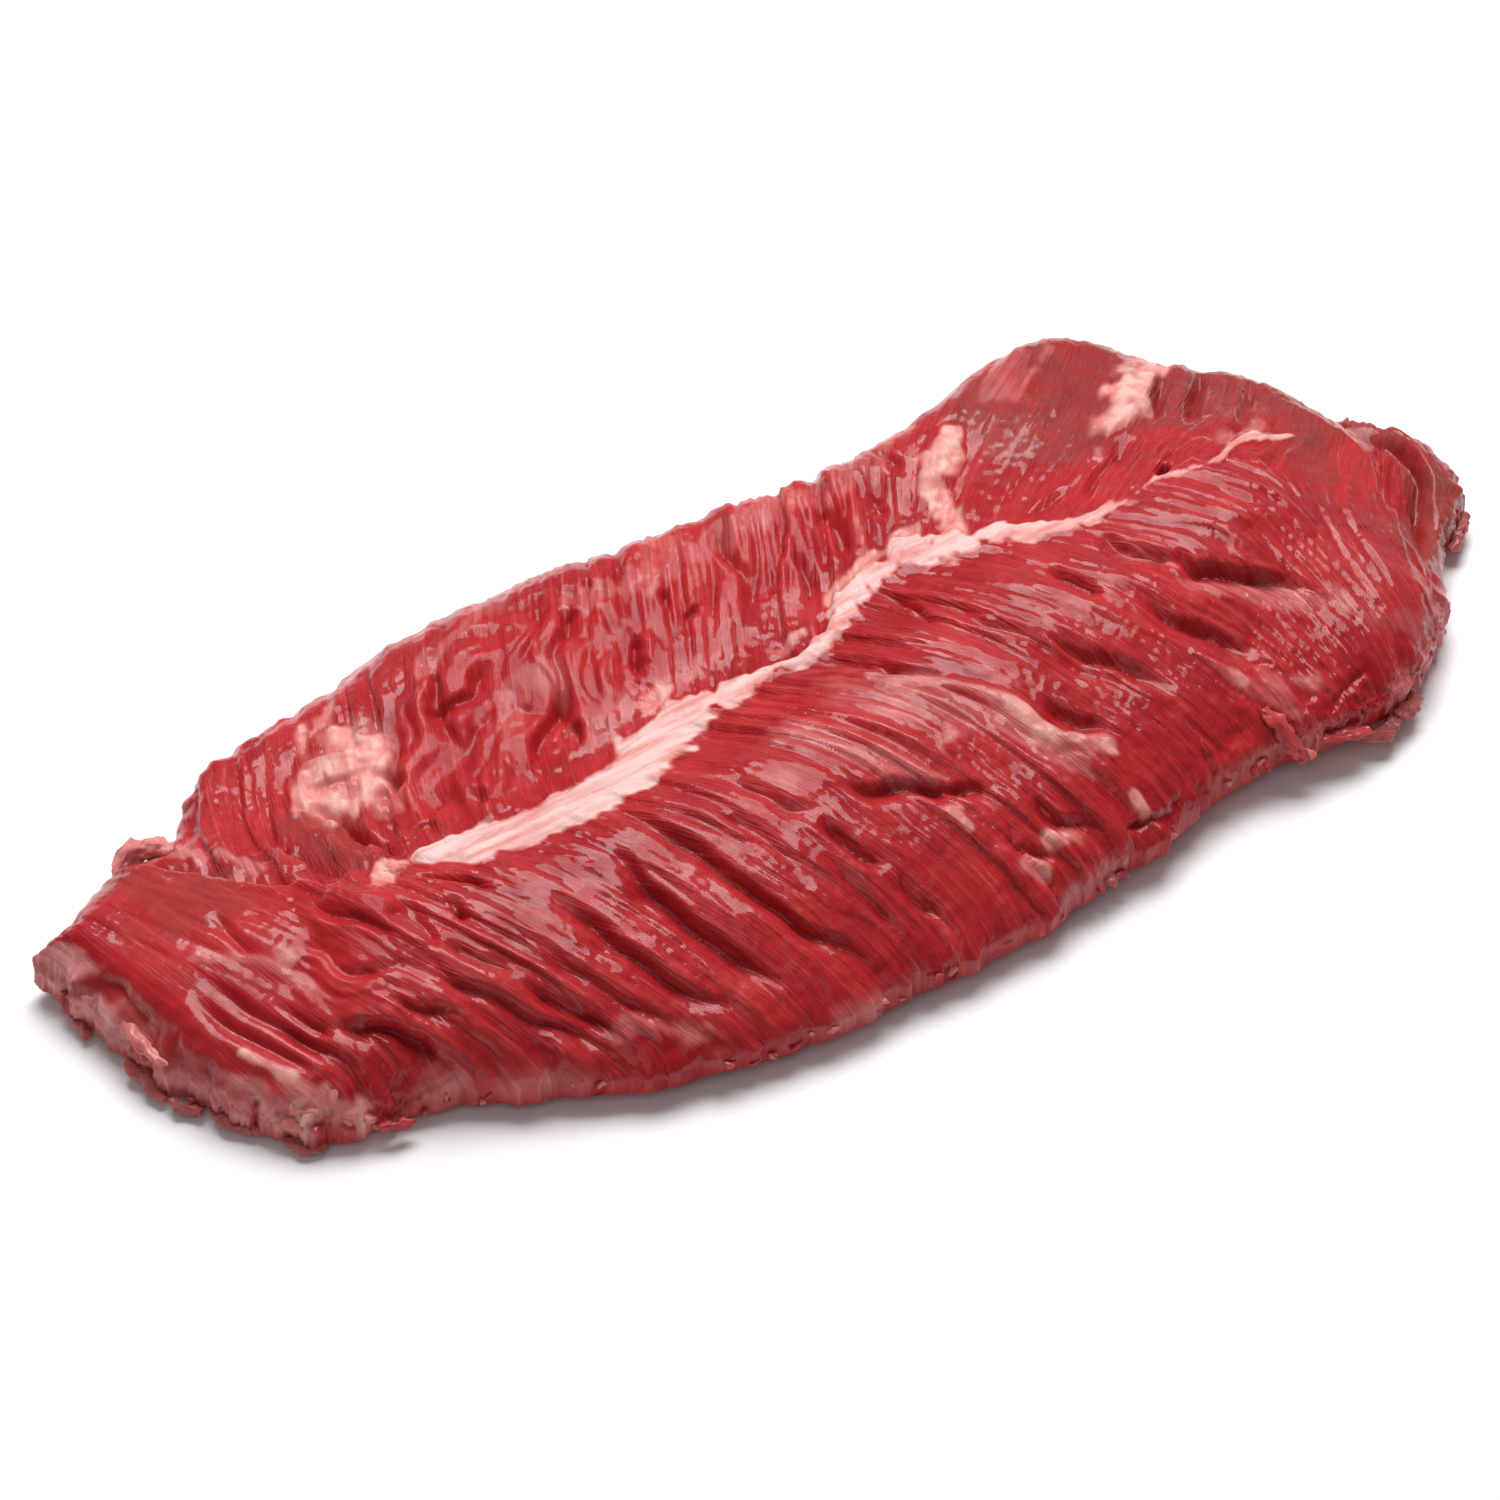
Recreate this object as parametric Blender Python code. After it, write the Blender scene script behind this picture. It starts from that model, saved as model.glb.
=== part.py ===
"""Raw hanger steak lying flat: two lobes of coarse muscle either side of a long pale sinew, in one solid.

Everything is worked out in millimetres and scaled to metres when the solid is made.
"""

import math

import bmesh
import bpy
import numpy as np

MM = 0.001

# How finely the skin is laid out before it is thinned to the solid's triangles.
CELLS_LONG = 280
CELLS_WIDE = 122
SOLID_TRIANGLES = 11700
MAP_STEP = 0.5
COARSE_STEP = 1.0
FINEST_RELIEF = 0.55

# Middle of the outline's box, which the finished solid is moved by.
PLAN_CENTRE = (2.56, 1.95)

# The four sides of the outline seen from above, each from its left or front end to the other.
FRONT = [(-138, -32), (-128, -35), (-112, -39), (-97, -48), (-78, -58), (-58, -64.5), (-36, -67.5),
         (-12, -68), (12, -68), (36, -65), (57, -60.5), (72, -58), (85, -59.5), (98, -61)]
RIGHT = [(98, -61), (114, -57), (128, -49), (139, -38), (151, -25), (162, -17), (165, -5), (160, 10),
         (152, 22)]
BACK = [(-160, 36), (-147, 40.5), (-134, 47.5), (-121, 49), (-108, 62), (-87, 66.5), (-73, 68.5),
        (-59, 71.5), (-40, 71.5), (-20, 71), (0, 66.5), (25, 62.5), (50, 60.5), (75, 64), (96, 70.5),
        (112, 71), (125, 62.5), (133, 48.5), (146, 35.5), (152, 22)]
LEFT = [(-138, -32), (-145.5, -22), (-150.5, -9), (-154, 5), (-157.5, 20), (-160, 36)]

# Height of the upper side at places all over the steak: x, y, z.
HEIGHTS = [(-150, 22, 16), (-150, -5, 17), (-140, -25, 14), (-130, 30, 21), (-120, 5, 24),
           (-110, -18, 25), (-98, -4, 26), (-80, -14, 27), (-80, -40, 21), (-60, -5, 26), (-40, -25, 30),
           (-40, -52, 20), (0, -15, 31), (0, -48, 22), (40, -8, 32), (40, -40, 24), (80, -12, 31),
           (80, -38, 22), (-80, 15, 19), (-60, 13, 19), (-30, 11, 21), (0, 16, 22), (30, 26, 24),
           (60, 31, 25), (90, 20, 26), (120, 20, 25), (-108, 44, 14), (-100, 22, 17), (-80, 46, 18),
           (-60, 36, 22), (-30, 42, 26), (-15, 52, 22), (0, 42, 27), (30, 46, 27), (60, 48, 27),
           (90, 48, 26), (112, 50, 23), (132, 36, 20), (120, 0, 28), (142, 5, 21), (150, -8, 15),
           (118, -30, 24), (134, -20, 18), (100, -45, 18), (-120, 42, 12), (-75, 58, 16)]
HEIGHT_REACH = 24.0

# Around the edge: x, y, how far the rim is off the table, how far in the rounding goes, and how gentle it is.
EDGES = [(-156, 5, 4, 7, 0.45), (-146, -22, 4, 6, 0.45), (-138, -32, 4, 6, 0.45), (-159, 36, 6, 8, 0.45),
         (-140, 46, 7, 9, 0.45), (-120, 49, 4, 11, 0.5), (-86, 64, 4, 15, 0.5), (-40, 70, 4, 15, 0.5),
         (0, 65, 4, 15, 0.5), (50, 59, 4, 15, 0.5), (96, 70, 4, 13, 0.5), (125, 63, 4, 12, 0.5),
         (150, 30, 5, 10, 0.5), (164, 0, 5, 12, 0.5), (151, -25, 5, 10, 0.55), (128, -49, 5, 14, 0.6),
         (98, -61, 8, 17, 0.7), (76, -58, 9, 17, 0.7), (57, -61, 6, 20, 0.7), (12, -68, 4, 23, 0.75),
         (-36, -68, 4, 23, 0.75), (-78, -58, 4, 22, 0.75), (-112, -39, 4, 15, 0.6)]
RIM_WALL = 3.4
UNDERCUT = 9.0

# The sinew between the two lobes: x, y and half its width.
SINEW = [(-88, 4, 4), (-78, 3, 7), (-65, 1, 8.5), (-50, 0, 8.5), (-38, 3, 7.5), (-28, 7, 7),
         (-18, 10, 6), (-8, 9, 5), (5, 7.5, 3.5), (15, 9, 3.2), (24, 17, 5), (32, 19, 5), (42, 19, 6.5),
         (50, 15, 6), (58, 13, 6.5), (66, 7, 4), (74, 4, 4), (85, 5, 2), (97, 6.5, 1.5), (103, 4, 1.5),
         (112, 5, 1.5), (122, 8, 2.5), (135, 6, 1.5)]
SINEW_RISE = 1.3

# Where the front lobe ends and the back lobe begins, from left to right.
LOBE_SEAM = [(-150, 70), (-131, 50), (-122, 27), (-108, 9), (-92, 4), (-60, 3), (-35, 5), (-15, 9),
             (5, 9), (25, 14), (45, 17), (60, 13), (72, 7), (85, 5), (98, 7), (110, 4), (130, 5),
             (170, 2)]

# The way the muscle runs: x, y and the angle from the long direction in degrees, for each lobe.
FRONT_GRAIN = [(-150, 20, -60), (-146, -10, -65), (-135, 25, -65), (-120, -8, -75), (-118, -30, -47),
               (-100, -12, -85), (-97, -36, -52), (-80, -45, -60), (-70, -39, -72), (-58, -33, -75),
               (-45, -30, -66), (-45, -50, -66), (-25, -10, -68), (-30, -50, -72), (-10, -20, -60),
               (-15, -50, -78), (5, -10, -55), (10, -30, -60), (10, -55, -80), (30, -15, -55),
               (40, -30, -52), (45, -50, -70), (60, -8, -70), (60, -25, -58), (65, -40, -55),
               (80, -10, -52), (90, -25, -40), (80, -36, -55), (95, -46, -80), (110, -15, -50),
               (100, -5, -62), (115, -36, -85), (126, -30, 70), (130, -10, 25), (122, -46, 35),
               (140, -16, 50), (145, 0, 20), (156, -8, 45)]
BACK_GRAIN = [(-110, 45, 60), (-100, 52, 62), (-90, 60, 70), (-85, 40, 60), (-70, 35, 70), (-60, 20, 45),
              (-60, 50, 45), (-45, 35, 60), (-30, 30, 55), (-45, 15, 60), (-20, 35, 62), (0, 30, 60),
              (10, 45, 62), (20, 30, 62), (35, 45, 80), (50, 45, 75), (60, 25, 40), (70, 35, 30),
              (85, 45, 30), (80, 20, 20), (90, 30, 35), (105, 20, 40), (100, 42, 40), (120, 25, 45),
              (130, 20, 48), (135, 35, 45), (115, 52, 40), (145, 15, 50)]
GRAIN_REACH = 16.0

# Creases between bundles: width to the left and to the right of the way they are drawn, depth, and the way.
FRONT_CREASES = [
    (2.5, 2.5, 1.5, [(-154.5, 19), (-152, 13), (-151.5, 5), (-150, 0)]),
    (3, 3, 2.0, [(-144, 0), (-141, -10), (-138, -18), (-134, -27)]),
    (2.5, 2.5, 1.5, [(-140, 2), (-138, -8), (-135, -15), (-131, -25), (-127, -33)]),
    (2.5, 2.5, 1.5, [(-136, -14), (-130, -24), (-124, -32)]),
    (2.5, 2.5, 1.2, [(-130, 15), (-130.5, 5), (-129, 0)]),
    (2.5, 2.5, 1.5, [(-132, -12), (-129, -20), (-125, -24)]),
    (1.4, 3.5, 4.5, [(-125, -22.5), (-121, -26), (-117, -30), (-113, -34), (-110, -38)]),
    (1.4, 3.0, 3.0, [(-114, -24), (-111, -29), (-105, -34)]),
    (2.5, 2.5, 1.5, [(-100.5, -9), (-101, -21)]),
    (1.5, 1.5, 3.0, [(-92.5, -11), (-92.5, -18)]),
    (2.5, 3.5, 3.0, [(-104, -22), (-101, -30), (-97, -36), (-92, -42), (-87, -47), (-82, -53)]),
    (2.5, 2.5, 2.0, [(-99, -19), (-96, -24), (-91, -34)]),
    (3.5, 3.5, 3.0, [(-90, -36), (-86, -43), (-79, -51)]),
    (2.5, 2.5, 2.0, [(-86, -29), (-80, -39), (-75, -49), (-66, -59)]),
    (1.6, 4.0, 4.2, [(-75, -21), (-74, -26), (-70, -39), (-65, -50), (-62, -55), (-58, -58)]),
    (1.6, 5.5, 5.0, [(-60, -20), (-59, -27), (-56, -39), (-52, -50), (-49, -55), (-45, -60)]),
    (1.4, 4.5, 4.2, [(-51, -10), (-48, -20), (-45.5, -30), (-40.5, -41), (-36, -52), (-27, -64)]),
    (2.5, 2.5, 1.5, [(-38, -24), (-34, -30), (-31, -36), (-30, -40)]),
    (1.6, 3.0, 2.6, [(-30, -16), (-28, -22), (-24, -29), (-19, -34)]),
    (2.5, 3.0, 3.0, [(-19.5, -35), (-18, -42), (-15.5, -50)]),
    (2.5, 2.5, 1.6, [(-24, -43), (-23, -50), (-21, -57), (-19, -62)]),
    (2.5, 2.5, 2.0, [(-14, -52), (-12.5, -58), (-10, -62)]),
    (1.4, 3.0, 4.2, [(-12, -31), (-7, -35), (0, -36.5), (5, -40), (10, -42), (15, -44.5)]),
    (3.5, 3.5, 2.0, [(7, 5), (10, 0), (13, -4), (15, -7)]),
    (1.2, 4.0, 3.2, [(15.5, -5), (15.5, -10), (20, -17), (24, -19.5)]),
    (1.4, 1.6, 2.6, [(31, 12), (31, 5), (30.5, -3)]),
    (1.8, 3.5, 2.6, [(37.5, -2), (37.5, -10), (44, -18), (45, -25), (51, -33), (55, -37)]),
    (3.5, 4.5, 3.0, [(47, -20), (50, -27), (55, -31), (60, -37), (62, -42)]),
    (1.6, 4.5, 3.0, [(36, -33), (40, -40), (44, -43)]),
    (1.2, 3.5, 3.2, [(60.5, -3), (61, -9), (63.5, -16.5)]),
    (1.4, 5.0, 4.2, [(72, -22), (73, -26), (79, -34), (84, -41)]),
    (1.6, 5.5, 4.2, [(74, -2), (76, -8), (79, -11), (85, -17)]),
    (2.2, 6.0, 6.0, [(85.5, -14), (86, -20), (90, -22.5), (100, -29.5), (104, -34)]),
    (2.5, 2.5, 2.0, [(12, -52), (13, -57), (19, -62.5)]),
    (1.8, 3.5, 2.6, [(22, -50), (23, -55), (31, -60.5)]),
    (1.2, 1.8, 2.4, [(35, -62), (42, -61), (48, -60.5), (54, -58.5)]),
]
BACK_CREASES = [
    (8.0, 1.4, 3.2, [(-130, 50), (-128, 38), (-122, 27), (-113, 14), (-108, 9), (-101, 2)]),
    (3.0, 2.5, 2.0, [(-101, 41), (-107, 30), (-106, 20), (-104, 8)]),
    (3.0, 1.6, 4.5, [(-95, 36), (-93, 28), (-93, 20), (-92, 10)]),
    (1.6, 1.6, 4.0, [(-94, 0), (-90, -4), (-86, -9), (-85, -13)]),
    (2.5, 2.5, 3.0, [(-80, 34), (-77, 28)]),
    (1.4, 3.5, 3.0, [(-65, 41), (-56, 40), (-52, 43), (-46, 46)]),
    (1.4, 4.5, 4.0, [(-55, 16), (-51, 20), (-46, 23), (-42, 26), (-39.5, 30)]),
    (1.4, 4.5, 4.0, [(-41.5, 21.5), (-42, 18), (-44, 15)]),
    (1.8, 3.0, 2.8, [(-32, 40.5), (-27, 45), (-24.5, 49)]),
    (1.2, 1.8, 3.0, [(-24, 24), (-22, 28), (-18, 34.5)]),
    (1.8, 1.8, 2.4, [(-8, 36), (-7.5, 39), (-6, 41)]),
    (1.2, 1.8, 2.4, [(-6, 31.5), (-2, 32.5)]),
    (1.8, 3.0, 3.2, [(3, 23), (8, 31), (10, 36), (11, 44), (16, 52)]),
    (1.2, 3.0, 2.6, [(17, 21), (20, 27), (23, 34.5)]),
    (1.8, 3.0, 3.6, [(32, 29), (34.5, 37), (35, 43)]),
    (3.5, 2.5, 1.6, [(45, 33), (45, 37), (46, 41)]),
    (2.5, 2.5, 2.0, [(56, 42), (56.5, 48), (58, 52)]),
    (1.2, 3.5, 1.6, [(67, 14), (72, 15), (78, 17), (84, 18)]),
    (1.4, 3.5, 2.8, [(79, 11), (88, 17), (96, 20.5), (101, 25)]),
    (1.2, 1.8, 5.0, [(96.5, 7.7), (101, 9.7)]),
    (1.8, 2.5, 2.6, [(110, 25), (115, 30), (121, 38)]),
    (1.8, 3.0, 3.2, [(116, 20), (122, 26), (128, 33), (133, 39)]),
    (1.8, 2.5, 2.2, [(118, 10), (126, 16), (133, 22), (140, 30)]),
]
# The ledge of the lower layer that sticks out at the right end.
LEDGES = [
    (12.0, 1.4, 5.5, [(137, -34), (146, -25), (152, -16), (157, -6), (158, 6), (154, 17), (149, 28)]),
]

# Raised pieces: half width, height and the way.
RAISED = [
    (2.6, 1.6, [(11, -9), (17, -16), (23, -21), (29, -30), (31, -36), (36, -42), (42, -47)]),
    (8.0, 2.0, [(-87, 38), (-84, 45)]),
    (4.0, 1.6, [(58, 34), (64, 39), (70, 44)]),
    (5.0, 1.8, [(103, 31), (110, 34), (116, 39), (121, 43)]),
    (3.5, 1.2, [(-148, 0), (-145, -12), (-138, -27)]),
    (3.0, 1.4, [(-99, 30), (-100, 20), (-98, 8)]),
]

# Bundles of fibre everywhere: width across, reach along, height, and the number that starts their pattern.
BUNDLES = [(4.5, 36.0, 0.85, 3)]
# Folds that overlap like shingles: width, height, how much they wander, and the number that starts their pattern.
SHINGLES = [(9.5, 1.5, 0.42, 61), (4.2, 0.55, 0.5, 71)]

MEAT_COLOUR = (0.40, 0.045, 0.05, 1.0)
MEAT_ROUGHNESS = 0.38


def smooth_curve(points, count):
    """Evenly spaced points along a smooth curve through the given ones."""
    p = np.array(points, float)
    q = np.vstack([2 * p[0] - p[1], p, 2 * p[-1] - p[-2]])
    t = np.linspace(0, 1, 13)[:-1, None]
    pieces = []
    for a, b, c, d in zip(q[:-3], q[1:-2], q[2:-1], q[3:]):
        bend = (2 * a - 5 * b + 4 * c - d) * t**2 + (3 * b - a - 3 * c + d) * t**3
        pieces.append(0.5 * (2 * b + (c - a) * t + bend))
    curve = np.vstack(pieces + [p[-1:]])
    travelled = np.r_[0, np.cumsum(np.linalg.norm(np.diff(curve[:, :2], axis=0), axis=1))]
    even = np.linspace(0, travelled[-1], count)
    return np.stack([np.interp(even, travelled, column) for column in curve.T], -1)


def on_side(points, share):
    """Points at the given shares of the length of one side of the outline."""
    curve = smooth_curve(points, 400)
    even = np.linspace(0, 1, 400)
    return np.stack([np.interp(share, even, column) for column in curve.T], -1)


def plan(s, t):
    """Plan position of a point of the skin, s from left to right and t from front to back."""
    front, back, left, right = on_side(FRONT, s), on_side(BACK, s), on_side(LEFT, t), on_side(RIGHT, t)
    s, t = s[..., None], t[..., None]
    corners = (1 - s) * (1 - t) * np.array(FRONT[0]) + s * (1 - t) * np.array(FRONT[-1])
    corners = corners + (1 - s) * t * np.array(BACK[0]) + s * t * np.array(BACK[-1])
    return (1 - t) * front + t * back + (1 - s) * left + s * right - corners


class Map:
    """A square-celled map of the plan, in millimetres, that values are worked out on and read back from."""

    def __init__(self, step):
        self.step = step
        self.left, self.front = -172.0, -84.0
        self.shape = (int(172 / step), int(350 / step))
        rows, columns = np.indices(self.shape)
        self.x = self.left + columns * step
        self.y = self.front + rows * step

    def read(self, values, x, y):
        """The values at any plan positions, blended between the cells."""
        column = np.clip((x - self.left) / self.step, 0, self.shape[1] - 1.001)
        row = np.clip((y - self.front) / self.step, 0, self.shape[0] - 1.001)
        c, r = column.astype(int), row.astype(int)
        u, v = column - c, row - r
        near = values[r, c] * (1 - u) + values[r, c + 1] * u
        far = values[r + 1, c] * (1 - u) + values[r + 1, c + 1] * u
        return near * (1 - v) + far * v

    def blur(self, values, reach):
        """The values softened over the given reach in millimetres."""
        fy = np.fft.fftfreq(self.shape[0], self.step)[:, None]
        fx = np.fft.rfftfreq(self.shape[1], self.step)[None, :]
        soft = np.exp(-2 * (math.pi * reach) ** 2 * (fx**2 + fy**2))
        return np.fft.irfft2(np.fft.rfft2(values) * soft, self.shape)

    def noise(self, reach, seed):
        """Smooth bumps of about the given size, with a spread of one."""
        rough = np.random.default_rng(seed).standard_normal(self.shape)
        soft = self.blur(rough, reach)
        return soft / soft.std()

    def along_grain(self, values, way, reach):
        """The values drawn out along the muscle, with a spread of one."""
        total = 0.0
        for sign in (1, -1):
            dx, dy = sign * self.step * way[0], sign * self.step * way[1]
            drawn, span = values, self.step
            while span < reach:
                x, y = self.x + dx, self.y + dy
                drawn = 0.5 * (drawn + self.read(drawn, x, y))
                dx, dy = dx + self.read(dx, x, y), dy + self.read(dy, x, y)
                span *= 2
            total = total + drawn
        return total / total.std()


def way_distance(x, y, way):
    """Distance to a way, which side of it the point is on, and how far along it the nearest place is."""
    curve = smooth_curve([p[:2] for p in way], max(6, 4 * len(way)))
    best = np.full(np.shape(x), 1e9)
    side = np.zeros(np.shape(x))
    share = np.zeros(np.shape(x))
    for k in range(len(curve) - 1):
        (ax, ay), (bx, by) = curve[k], curve[k + 1]
        dx, dy = bx - ax, by - ay
        h = np.clip(((x - ax) * dx + (y - ay) * dy) / (dx * dx + dy * dy), 0, 1)
        gap = np.hypot(x - ax - h * dx, y - ay - h * dy)
        nearer = gap < best
        best = np.where(nearer, gap, best)
        side = np.where(nearer, np.sign(dx * (y - ay) - dy * (x - ax)), side)
        share = np.where(nearer, (k + h) / (len(curve) - 1), share)
    return best, side, share


def near(area, way, reach):
    """The part of the map within reach of a way."""
    w = np.array([p[:2] for p in way], float)
    low, high = w.min(axis=0) - reach, w.max(axis=0) + reach
    c0, c1 = (int((v - area.left) / area.step) for v in (low[0], high[0]))
    r0, r1 = (int((v - area.front) / area.step) for v in (low[1], high[1]))
    return slice(max(r0, 0), max(r1 + 2, 0)), slice(max(c0, 0), max(c1 + 2, 0))


def crease(area, relief, left, right, depth, way, sharpness=1.8):
    """Presses one crease into the relief, fading out at its ends."""
    part = near(area, way, max(left, right) + 1)
    gap, side, share = way_distance(area.x[part], area.y[part], way)
    width = np.where(side > 0, left, right)
    fall = np.clip(1 - gap / width, 0, 1) ** sharpness
    fade = np.clip(np.minimum(share, 1 - share) * 5 + 0.25, 0, 1)
    relief[part] -= depth * fall * fade


def raise_up(area, relief, width, height, way):
    """Raises one rounded piece out of the relief."""
    part = near(area, way, width + 1)
    gap, _, share = way_distance(area.x[part], area.y[part], way)
    q = np.clip(1 - (gap / width) ** 2, 0, 1)
    relief[part] += height * q * np.clip(np.minimum(share, 1 - share) * 6 + 0.4, 0, 1)


def soft_step(v):
    v = np.clip(v, 0, 1)
    return v * v * (3 - 2 * v)


def blend_places(x, y, places, values, reach):
    """Values given at places, blended smoothly everywhere else."""
    total, weight = 0.0, 1e-12
    for (px, py), value in zip(places, values):
        w = np.exp(-((x - px) ** 2 + (y - py) ** 2) / (2 * reach**2)) + 1e-9
        total = total + w * value
        weight = weight + w
    return total / weight


def edge_distance(area):
    """Distance in from the outline, negative outside."""
    sides = [smooth_curve(FRONT, 120), smooth_curve(RIGHT, 60)]
    sides += [smooth_curve(BACK, 140)[::-1], smooth_curve(LEFT, 50)[::-1]]
    ring = np.vstack([one[:-1] for one in sides])
    best = np.full(area.shape, 1e9)
    inside = np.zeros(area.shape, bool)
    for (ax, ay), (bx, by) in zip(ring, np.roll(ring, -1, axis=0)):
        dx, dy = bx - ax, by - ay
        h = np.clip(((area.x - ax) * dx + (area.y - ay) * dy) / (dx * dx + dy * dy), 0, 1)
        best = np.minimum(best, np.hypot(area.x - ax - h * dx, area.y - ay - h * dy))
        crosses = (ay > area.y) != (by > area.y)
        inside ^= crosses & (area.x < ax + (area.y - ay) / (by - ay + 1e-12) * dx)
    return np.where(inside, best, -best)


def smooth_height(area):
    """Height of the upper side between the named places."""
    c = np.array(HEIGHTS, float)
    mean = c[:, 2].mean()
    gaps = (c[:, None, 0] - c[None, :, 0]) ** 2 + (c[:, None, 1] - c[None, :, 1]) ** 2
    pull = np.exp(-gaps / (2 * HEIGHT_REACH**2)) + 0.12 * np.eye(len(c))
    shares = np.linalg.solve(pull, c[:, 2] - mean)
    z = np.full(area.shape, mean)
    for (cx, cy, _), k in zip(c, shares):
        z += k * np.exp(-((area.x - cx) ** 2 + (area.y - cy) ** 2) / (2 * HEIGHT_REACH**2))
    return z


def grain(area):
    """The angle of the muscle everywhere, in radians."""
    gap, side, _ = way_distance(area.x, area.y, LOBE_SEAM)
    back = soft_step(0.5 + side * gap / 6)
    total = 0.0
    for places, share in ((FRONT_GRAIN, 1 - back), (BACK_GRAIN, back)):
        turns = np.radians(np.array([2 * p[2] for p in places]))
        flat = [p[:2] for p in places]
        cosine = blend_places(area.x, area.y, flat, np.cos(turns), GRAIN_REACH)
        sine = blend_places(area.x, area.y, flat, np.sin(turns), GRAIN_REACH)
        total = total + share * (cosine + 1j * sine)
    return np.angle(total) / 2


def headed(angle):
    """The muscle's direction everywhere, always towards the back."""
    flip = np.where(np.sin(angle) < 0, -1, 1)
    return flip * np.cos(angle), flip * np.sin(angle)


def around_edge(area):
    """How high the rim is, how far in the rounding goes and how full it is, everywhere."""
    places = [p[:2] for p in EDGES]
    rise, rounding, fullness = (blend_places(area.x, area.y, places, [p[k] for p in EDGES], 22.0)
                                for k in (2, 3, 4))
    return rise, rounding, fullness


def band(area, way, spread=1.0):
    """How far inside a band of varying width each place is: 1 on its middle line, 0 at its edge."""
    widths = np.array([p[2] for p in way], float) * spread
    gap, _, share = way_distance(area.x, area.y, way)
    width = np.interp(share, np.linspace(0, 1, len(widths)), widths)
    return np.clip(1 - gap / width, 0, 1)


def across_grain(area, way):
    """Distance across the muscle's grain, that the folds are laid out on."""
    way_x, way_y = way[1], -way[0]
    step_x, step_y = 0.5 * (way_x[:, 1:] + way_x[:, :-1]), 0.5 * (way_y[1:] + way_y[:-1])
    source = np.zeros(area.shape)
    source[:, 1:] += step_x
    source[:, :-1] -= step_x
    source[1:] += step_y
    source[:-1] -= step_y
    rows, columns = area.shape
    mirrored = np.block([[source, source[:, ::-1]], [source[::-1], source[::-1, ::-1]]])
    bend_y = 2 - 2 * np.cos(math.pi * np.arange(2 * rows) / rows)
    bend_x = 2 - 2 * np.cos(math.pi * np.arange(2 * columns) / columns)
    bend = bend_y[:, None] + bend_x[None, :]
    bend[0, 0] = 1.0
    return np.fft.ifft2(np.fft.fft2(mirrored) / bend).real[:rows, :columns] * area.step


def drawn(area, way, width, reach, seed):
    """Noise of the given width across the muscle, drawn out along it."""
    return area.along_grain(area.noise(width / 2.6, seed), way, reach)


def folds(area):
    """The large folds and bundles of the muscle, worked out on a coarse map."""
    way = headed(grain(area))
    across = across_grain(area, way)
    relief = np.zeros(area.shape)
    for width, height, wander, seed in SHINGLES:
        phase = across / width + wander * drawn(area, way, 1.4 * width, 8 * width, seed)
        strength = soft_step(0.45 + 0.5 * drawn(area, way, 1.5 * width, 5 * width, seed + 1))
        relief += height * strength * (0.4 - (phase - np.floor(phase)) ** 1.5)
    for width, reach, height, seed in BUNDLES:
        relief += height * (np.abs(drawn(area, way, width, reach, seed)) - 0.8)
    return relief


def upper_relief(area):
    """Everything that stands out of or cuts into the smooth form, along its surface."""
    sinew = soft_step(1.6 * band(area, SINEW))
    coarse = Map(COARSE_STEP)
    relief = coarse.read(folds(coarse), area.x, area.y) * (1 - 0.85 * sinew)
    for one in FRONT_CREASES + BACK_CREASES:
        crease(area, relief, *one)
    for one in LEDGES:
        crease(area, relief, *one, sharpness=0.8)
    for one in RAISED:
        raise_up(area, relief, *one)
    return relief + SINEW_RISE * sinew


def skin():
    """A closed block of small cells: its upper and lower skins and the narrow wall between them."""
    bm = bmesh.new()
    bmesh.ops.create_cube(bm, size=1.0)
    for axis, cells in ((0, CELLS_LONG), (1, CELLS_WIDE)):
        along = []
        for edge in bm.edges:
            way = edge.verts[0].co - edge.verts[1].co
            if abs(way[axis]) > 0.5 * way.length:
                along.append(edge)
        bmesh.ops.subdivide_edges(bm, edges=along, cuts=cells - 1, use_grid_fill=True)
    return bm


def closer_at_ends(v, share=0.55):
    """Moves evenly spaced numbers closer together near 0 and 1."""
    return v - share * np.sin(2 * math.pi * v) / (2 * math.pi)


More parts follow.
